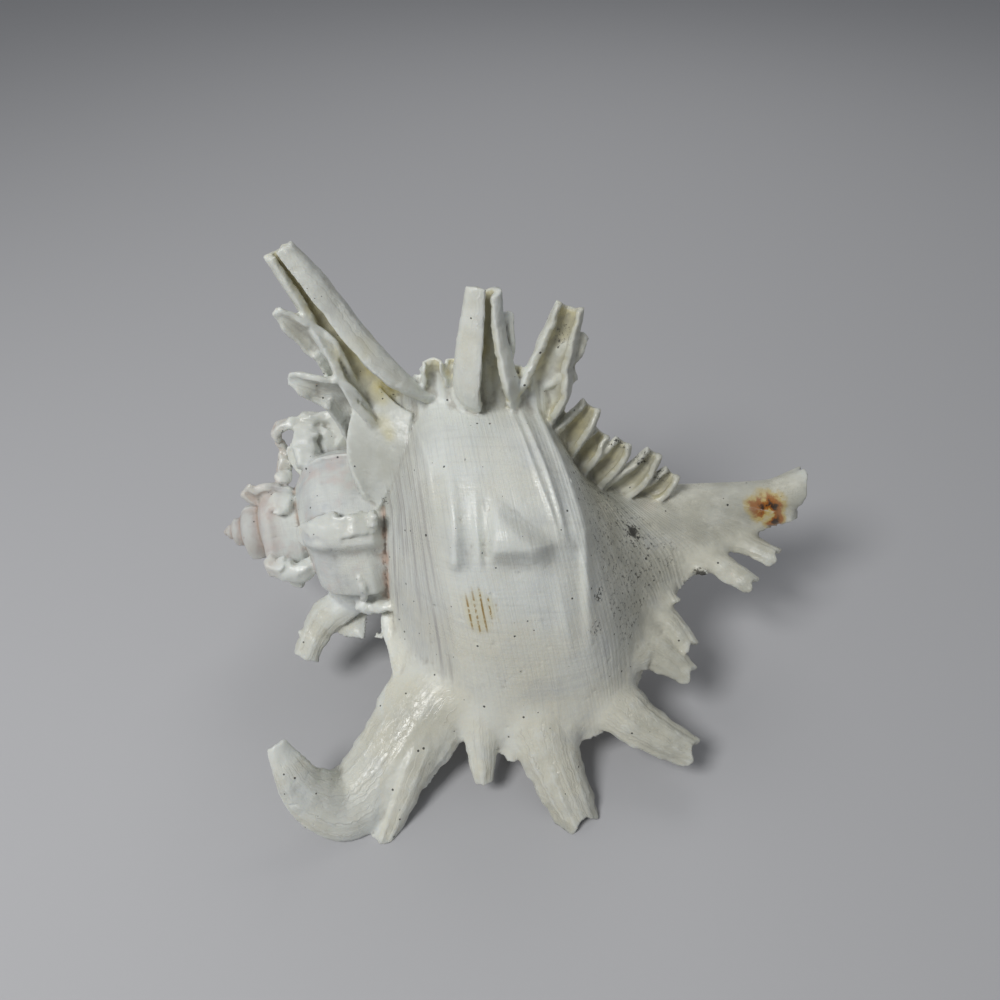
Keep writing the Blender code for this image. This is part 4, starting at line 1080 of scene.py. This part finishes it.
# Old shell of aragonite and calcite, bleached by the sun: chalky white with a porcelain shine left in
# places, cream where the outer layer is worn, pink-brown in the sutures
bleached = {
    "white": "#E2E5DF", "cream": "#E2E0D0", "shade": "#C6CACB", "streak": "#BFC0BB", "rampStreak": "#A9A6A4",
    "suturePink": "#C9AC98", "sutureBrown": "#6E4A37", "apex": "#CDBFB4", "yellow": "#CFC27D",
    "olive": "#8F8448", "rust": "#B36A12", "rustDark": "#3E2413", "rustFringe": "#DDBB45", "soot": "#26241F",
    "dust": "#9B968A", "film": "#A9A899", "pearl": "#BCBFC0", "groove": "#9C7A2E", "inside": "#E9DCD2",
    "tinge": "#DCC3B8",
    # clouds and grains: size in millimetres, detail, roughness
    "clouds": {
        "patches": (26.0, 3.0, 0.55), "lumps": (5.0, 3.0, 0.55), "grain": (0.9, 2.0, 0.55),
        "thinness": (11.0, 3.0, 0.55), "dulling": (8.0, 4.0, 0.55), "pearling": (14.0, 3.0, 0.55),
        "blush": (7.0, 3.0, 0.55), "gaps": (2.2, 3.0, 0.55), "scratches": (1.2, 3.0, 0.55),
        "rusting": (4.5, 4.0, 0.55), "dusting": (3.0, 3.0, 0.55), "filming": (9.0, 5.0, 0.55),
        "grit": (1.3, 5.0, 0.75),
    },
    # patterns drawn out over the whorl: changes per millimetre along, per degree back, offset, detail
    "drawnOut": {
        "streaks": (1.6, 0.035, 0.0, 4.0), "rampLines": (0.9, 0.02, 7.0, 3.0),
        "bands": (0.03, 0.35, 3.0, 3.0), "growthLines": (0.05, 1.3, 0.0, 3.0), "threads": (2.6, 0.06, 5.0, 3.0),
    },
    # fields worked out from others, as the layers below are
    "worked": [
        ("onCoil", "coilShare", ("back", 2.0, 20.0, 0.35, 1.0)),
        ("onRamp", ("along", 88.0, 80.0), ("along", 62.0, 66.0), ("back", 345.0, 330.0)),
        ("onNeck", ("along", 129.0, 138.0), ("along", 172.0, 150.0), "onCoil", 0.5),
        ("yellowed", "yellow", ("lumps", 0.3, 0.7, 0.5, 1.1)),
        ("rusted", "rust", ("rusting", 0.3, 0.7, 0.35, 1.7)),
    ],
    # colours laid over each other, each with what its amount is the product of: a number, a field,
    # or a field with where it starts and ends and, if not 0 and 1, how much it gives there
    "layers": [
        ("cream", "warmth"),
        # bluish grey where the shell is thin enough to let light through
        ("shade", ("thinness", 0.5, 0.72), ("spire", 0.0, 1.0, 0.35, 0.9)),
        # streaks that follow the cords, bands of growth across them, and painted shade laid evenly over the
        # concave ramp
        ("streak", ("streaks", 0.5, 0.75), "onCoil", 0.42),
        # painted shade: the whole concave ramp below the suture made greyer
        ("streak", "onRamp", "onCoil", 0.35),
        ("rampStreak", "onRamp", ("rampLines", 0.46, 0.68), "onCoil", 0.75),
        ("streak", ("bands", 0.5, 0.72), "onCoil", 0.22),
        ("dust", ("ribs", 0.52, 0.74), "frondShare", 0.3),
        ("film", "frondShare", ("patches", 0.3, 0.6, 0.03, 0.2)),
        # painted shade: a grey film over the broad patches on the left of the spire and the body
        ("film", "dull", ("dulling", 0.25, 0.6, 0.3, 0.62)),
        # pink and brown of the young whorls and the sutures
        ("apex", "apex", ("lumps", 0.3, 0.7, 0.5, 1.0)),
        ("pearl", "spire", ("pearling", 0.35, 0.65, 0.05, 0.6)),
        ("tinge", "spire", ("blush", 0.5, 0.72), 0.4),
        ("tinge", "pink", ("lumps", 0.35, 0.6)),
        ("suturePink", ("suture", 0.08, 0.5), ("lumps", 0.3, 0.55, 0.2, 1.0), 0.8),
        ("sutureBrown", ("suture", 0.3, 0.6), ("gaps", 0.48, 0.62), 0.85),
        # open channels of the spines
        ("yellow", "hollowSide", ("patches", 0.3, 0.7, 0.25, 0.6)),
        ("yellow", "yellowed", 0.95),
        ("olive", ("yellowed", 0.6, 1.0, 0.0, 0.55)),
        # four yellow-brown grooves
        ("yellow", "grooves", 0.35),
        ("groove", "grooves", ("scratches", 0.35, 0.5), ("stripe", 0.45, 0.15)),
        # rust at the tip of the canal
        ("rustFringe", ("rusted", 0.1, 0.4, 0.0, 0.7)),
        ("rust", ("rusted", 0.38, 0.7)),
        ("rustDark", ("rusted", 0.8, 1.15)),
        # dust and painted shade in the hollows, edges worn clean, and a grey film and soot towards the canal
        # partly dust, partly painted shade: hollows darker the deeper they lie below their surroundings
        ("dust", ("crease", 0.1, 0.6), ("dusting", 0.3, 0.6, 0.3, 1.0), 0.7),
        ("white", ("crease", -0.08, -0.45), 0.55),
        ("film", ("along", 129.0, 142.0), ("filming", 0.35, 0.62, 0.3, 1.0), "rustless", 0.55),
        ("soot", ("sooty", 0.25, 0.9, 0.0, 0.9)),
    ],
    # loose specks of sand: spacing in millimetres, share of the places that stay empty, size in millimetres
    "specks": [(5.5, 0.66), (3.0, 0.88), (1.8, 0.95)],
    "speckSize": (0.13, 0.38),
}


def bleachedShell():
    material = bpy.data.materials.new("bleachedShell")
    material.use_nodes = True
    tree = material.node_tree
    surface = tree.nodes["Principled BSDF"]
    add = partial(addNode, tree)
    place = add("ShaderNodeTexCoord", output="Object")
    field = {}
    for name in ("along", "back", "cordPhase", "cordShare", "coilShare", "crease", "suture", "spire", "apex",
                 "inside", "grooves", "frondAcross", "frondAlong", "frondShare", "hollowSide", *marks):
        field[name] = add("ShaderNodeAttribute", output="Fac", attribute_name=name)

    def amount(*factors):
        # the product of numbers, fields and soft changes of fields
        values = []
        for factor in factors:
            if isinstance(factor, tuple):
                name, *span = factor
                factor = add("ShaderNodeMapRange", (field[name], *span), interpolation_type="SMOOTHSTEP")
            values.append(field[factor] if isinstance(factor, str) else factor)
        return chained(tree, "MULTIPLY", values)

    for name, (size, detail, rough) in bleached["clouds"].items():
        field[name] = add("ShaderNodeTexNoise", {
            "Vector": place, "Scale": 1000.0 / size, "Detail": detail, "Roughness": rough})
    for name, (alongRate, backRate, offset, detail) in bleached["drawnOut"].items():
        drawn = add("ShaderNodeCombineXYZ", (amount("along", alongRate), amount("back", backRate), offset))
        field[name] = add("ShaderNodeTexNoise", {
            "Vector": drawn, "Scale": 1.0, "Detail": detail, "Roughness": 0.55})
    drawn = add("ShaderNodeCombineXYZ", (field["frondAcross"], field["frondAlong"]))
    field["ribs"] = add("ShaderNodeTexNoise", {
        "Vector": drawn, "Scale": 1.0, "Detail": 3.0, "Roughness": 0.55})
    for name, *factors in bleached["worked"]:
        field[name] = amount(*factors)
    # cream on the spines, the canal and low on the body, cooler white on top
    field["warmth"] = chained(tree, "ADD", (
        amount(("back", 10.0, 75.0, 0.75, 0.15)), amount("frondShare", 0.5),
        amount(("along", 130.0, 150.0, 0.0, 0.6)), amount(("patches", 0.35, 0.7, -0.35, 0.35))))
    fromFirst = add("ShaderNodeMath", (field["along"], grooveLines[0][0]), operation="SUBTRACT")
    field["stripe"] = add("ShaderNodeMath", (fromFirst, grooveHalfWidth), operation="PINGPONG")
    field["rustless"] = add("ShaderNodeMath", (1.0, field["rust"]), operation="SUBTRACT")
    # soot, and painted shade in the long spine's slit, in grains, and solid in the middle of a strong mark
    sootNeckAndShade = add("ShaderNodeMath", (field["soot"], field["onNeck"]), operation="MAXIMUM")
    grains = chained(tree, "MULTIPLY", (sootNeckAndShade, amount(("grit", 0.45, 0.68, 0.0, 1.7))))
    solid = add("ShaderNodeMath", (field["soot"], 0.9), operation="SUBTRACT")
    field["sooty"] = add("ShaderNodeMath", (grains, solid), operation="MAXIMUM")

    colour = hexColour(bleached["white"])
    layers = [(name, amount(*factors)) for name, *factors in bleached["layers"]]
    for spacing, empty in bleached["specks"]:
        cells = add("ShaderNodeTexVoronoi", {"Vector": place, "Scale": 1000.0 / spacing})
        chance = add("ShaderNodeSeparateColor", (cells.node.outputs["Color"],)).node.outputs
        small, large = (size / spacing for size in bleached["speckSize"])
        radius = add("ShaderNodeMapRange", (chance["Green"], 0.3, 1.0, small, large),
                     interpolation_type="SMOOTHSTEP")
        speck = add("ShaderNodeMath", (cells, radius), operation="LESS_THAN")
        chosen = add("ShaderNodeMath", (chance["Red"], empty), operation="GREATER_THAN")
        layers.append(("soot", amount(speck, chosen, 0.9)))
    layers.append(("inside", field["inside"]))
    for name, share in layers:
        inputs = {0: share, 6: colour, 7: hexColour(bleached[name])}
        colour = add("ShaderNodeMix", inputs, 2, data_type="RGBA")
    tree.links.new(colour, surface.inputs["Base Color"])

    # porcelain shine in patches, chalk elsewhere
    field["shine"] = chained(tree, "ADD", (field["patches"], amount("grain", 0.3)))
    shine = chained(tree, "ADD", (amount(("shine", 0.45, 0.8, 0.5, 0.27)), amount("inside", -0.15)))
    rough = add("ShaderNodeMath", (shine, amount(("sooty", 0.2, 0.8, 0.2, 0.9))), operation="MAXIMUM")
    tree.links.new(rough, surface.inputs["Roughness"])
    surface.inputs["IOR"].default_value = 1.53
    surface.inputs["Subsurface Weight"].default_value = 0.18
    surface.inputs["Subsurface Radius"].default_value = (1.0, 0.85, 0.65)
    surface.inputs["Subsurface Scale"].default_value = 0.0018

    # fine cords, growth lines and grain as relief in millimetres
    field["cord"] = add("ShaderNodeMath", (amount("cordPhase", 4.0 * math.pi),), operation="COSINE")
    relief = chained(tree, "ADD", (
        amount("cord", "cordShare", 0.05), amount("growthLines", "onCoil", 0.12),
        amount("threads", "onCoil", 0.12), amount("ribs", "frondShare", 0.6), amount("grain", 0.09),
        amount("lumps", 0.2)))
    bump = add("ShaderNodeBump", {"Height": relief, "Distance": 0.001, "Strength": 0.9})
    tree.links.new(bump, surface.inputs["Normal"])
    return material


bodies, sheets = shellBodies()
points, faces = joined(bodies)
shell = newObject("ramose_murex", meshFrom("ramose_murex", points, faces))
fuse = shell.modifiers.new("fuse", "REMESH")
fuse.mode = "VOXEL"
fuse.voxel_size = fineness["voxel"] / 1000.0
shell.data = evaluatedMesh(shell)
rootsBlended(shell.data)
print("fused:", len(shell.data.vertices), "points")

coating = bleachedShell()
markCoil(shell.data)
carve = shell.modifiers.new("sculpture", "NODES")
carve.node_group = sculptureTree()
items = carve.node_group.interface.items_tree
sockets = {item.name: item.identifier for item in items if item.in_out == "INPUT"}
for name, value in sculpture.items():
    carve[sockets[name]] = value
carve[sockets["Material"]] = coating
shell.data = evaluatedMesh(shell)
print("sculpted")

thin = shell.modifiers.new("thin", "DECIMATE")
shell.data.calc_loop_triangles()
thin.ratio = fineness["triangles"] / len(shell.data.loop_triangles)
shell.data = evaluatedMesh(shell)
cutLevel(shell.data, 0.0)
low, high = (np.array(corner) for corner in cadBox)
inside = np.clip(pointsOf(shell.data), low, high)
shell.data.vertices.foreach_set("co", inside.astype(np.float32).ravel())
shell.data.update()
shell.data.polygons.foreach_set("use_smooth", np.ones(len(shell.data.polygons), bool))
markSurface(shell.data, sheets)
print("thinned:", len(shell.data.polygons), "faces")

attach(shell, "root")
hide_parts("shell")

studio = {
    "cameraElevation": 43.0,
    "focal": 833.0,          # pixels of a 1000 pixel picture
    "distance": 281.0,
    "target": (-4.3, 22.1, 50.0),
    "above": 13.0,           # pixels that the axis lies below the middle
    "sensor": 36.0,
    # name, place, size, power of the soft boxes
    "lights": [("keyLight", (-0.38, -0.36, 0.7), 0.3, 4.0), ("fillLight", (0.1, 0.6, 0.7), 0.5, 1.1)],
    "sky": (0.62, 0.64, 0.68, 1.0),
    "skyStrength": 0.3,
    "floorPaint": (0.52, 0.52, 0.53, 1.0),
    "floorRoughness": 0.8,
    "floorReach": 3.0,
}


def studioCamera():
    tilt = math.radians(studio["cameraElevation"])
    up = Vector((0.0, math.sin(tilt), math.cos(tilt)))
    toCamera = Vector((0.0, -math.cos(tilt), math.sin(tilt)))
    target = Vector(studio["target"]) + up * (studio["above"] / studio["focal"] * studio["distance"])
    lens = bpy.data.cameras.new("camera")
    lens.sensor_width = studio["sensor"]
    lens.lens = studio["focal"] / 1000.0 * studio["sensor"]
    lens.clip_start = 0.01
    camera = newObject("camera", lens)
    camera.location = (target + toCamera * studio["distance"]) / 1000.0
    camera.rotation_mode = "QUATERNION"
    right = Vector((1.0, 0.0, 0.0))
    camera.rotation_quaternion = Matrix((right, up, toCamera)).transposed().to_quaternion()
    bpy.context.scene.camera = camera


def softBox(name, location, size, power):
    lamp = bpy.data.lights.new(name, "AREA")
    lamp.shape = "DISK"
    lamp.size = size
    lamp.energy = power
    made = newObject(name, lamp)
    made.location = location
    made.rotation_mode = "QUATERNION"
    made.rotation_quaternion = Vector(location).to_track_quat("Z", "Y")


def paintedFloor():
    reach = studio["floorReach"]
    corners = np.array([(-reach, -reach, 0), (reach, -reach, 0), (reach, reach, 0), (-reach, reach, 0)])
    floor = newObject("floor", meshFrom("floor", corners, np.array([(0, 1, 2), (0, 2, 3)])))
    paint = bpy.data.materials.new("paleFloor")
    paint.use_nodes = True
    inputs = paint.node_tree.nodes["Principled BSDF"].inputs
    inputs["Base Color"].default_value = studio["floorPaint"]
    inputs["Roughness"].default_value = studio["floorRoughness"]
    floor.data.materials.append(paint)
    return floor


studioCamera()
for lamp in studio["lights"]:
    softBox(*lamp)
world = bpy.data.worlds.new("studio")
bpy.context.scene.world = world
world.use_nodes = True
sky = world.node_tree.nodes["Background"].inputs
sky["Color"].default_value = studio["sky"]
sky["Strength"].default_value = studio["skyStrength"]
bpy.context.scene.view_settings.view_transform = "Standard"
floor = paintedFloor()

print("studio ready")
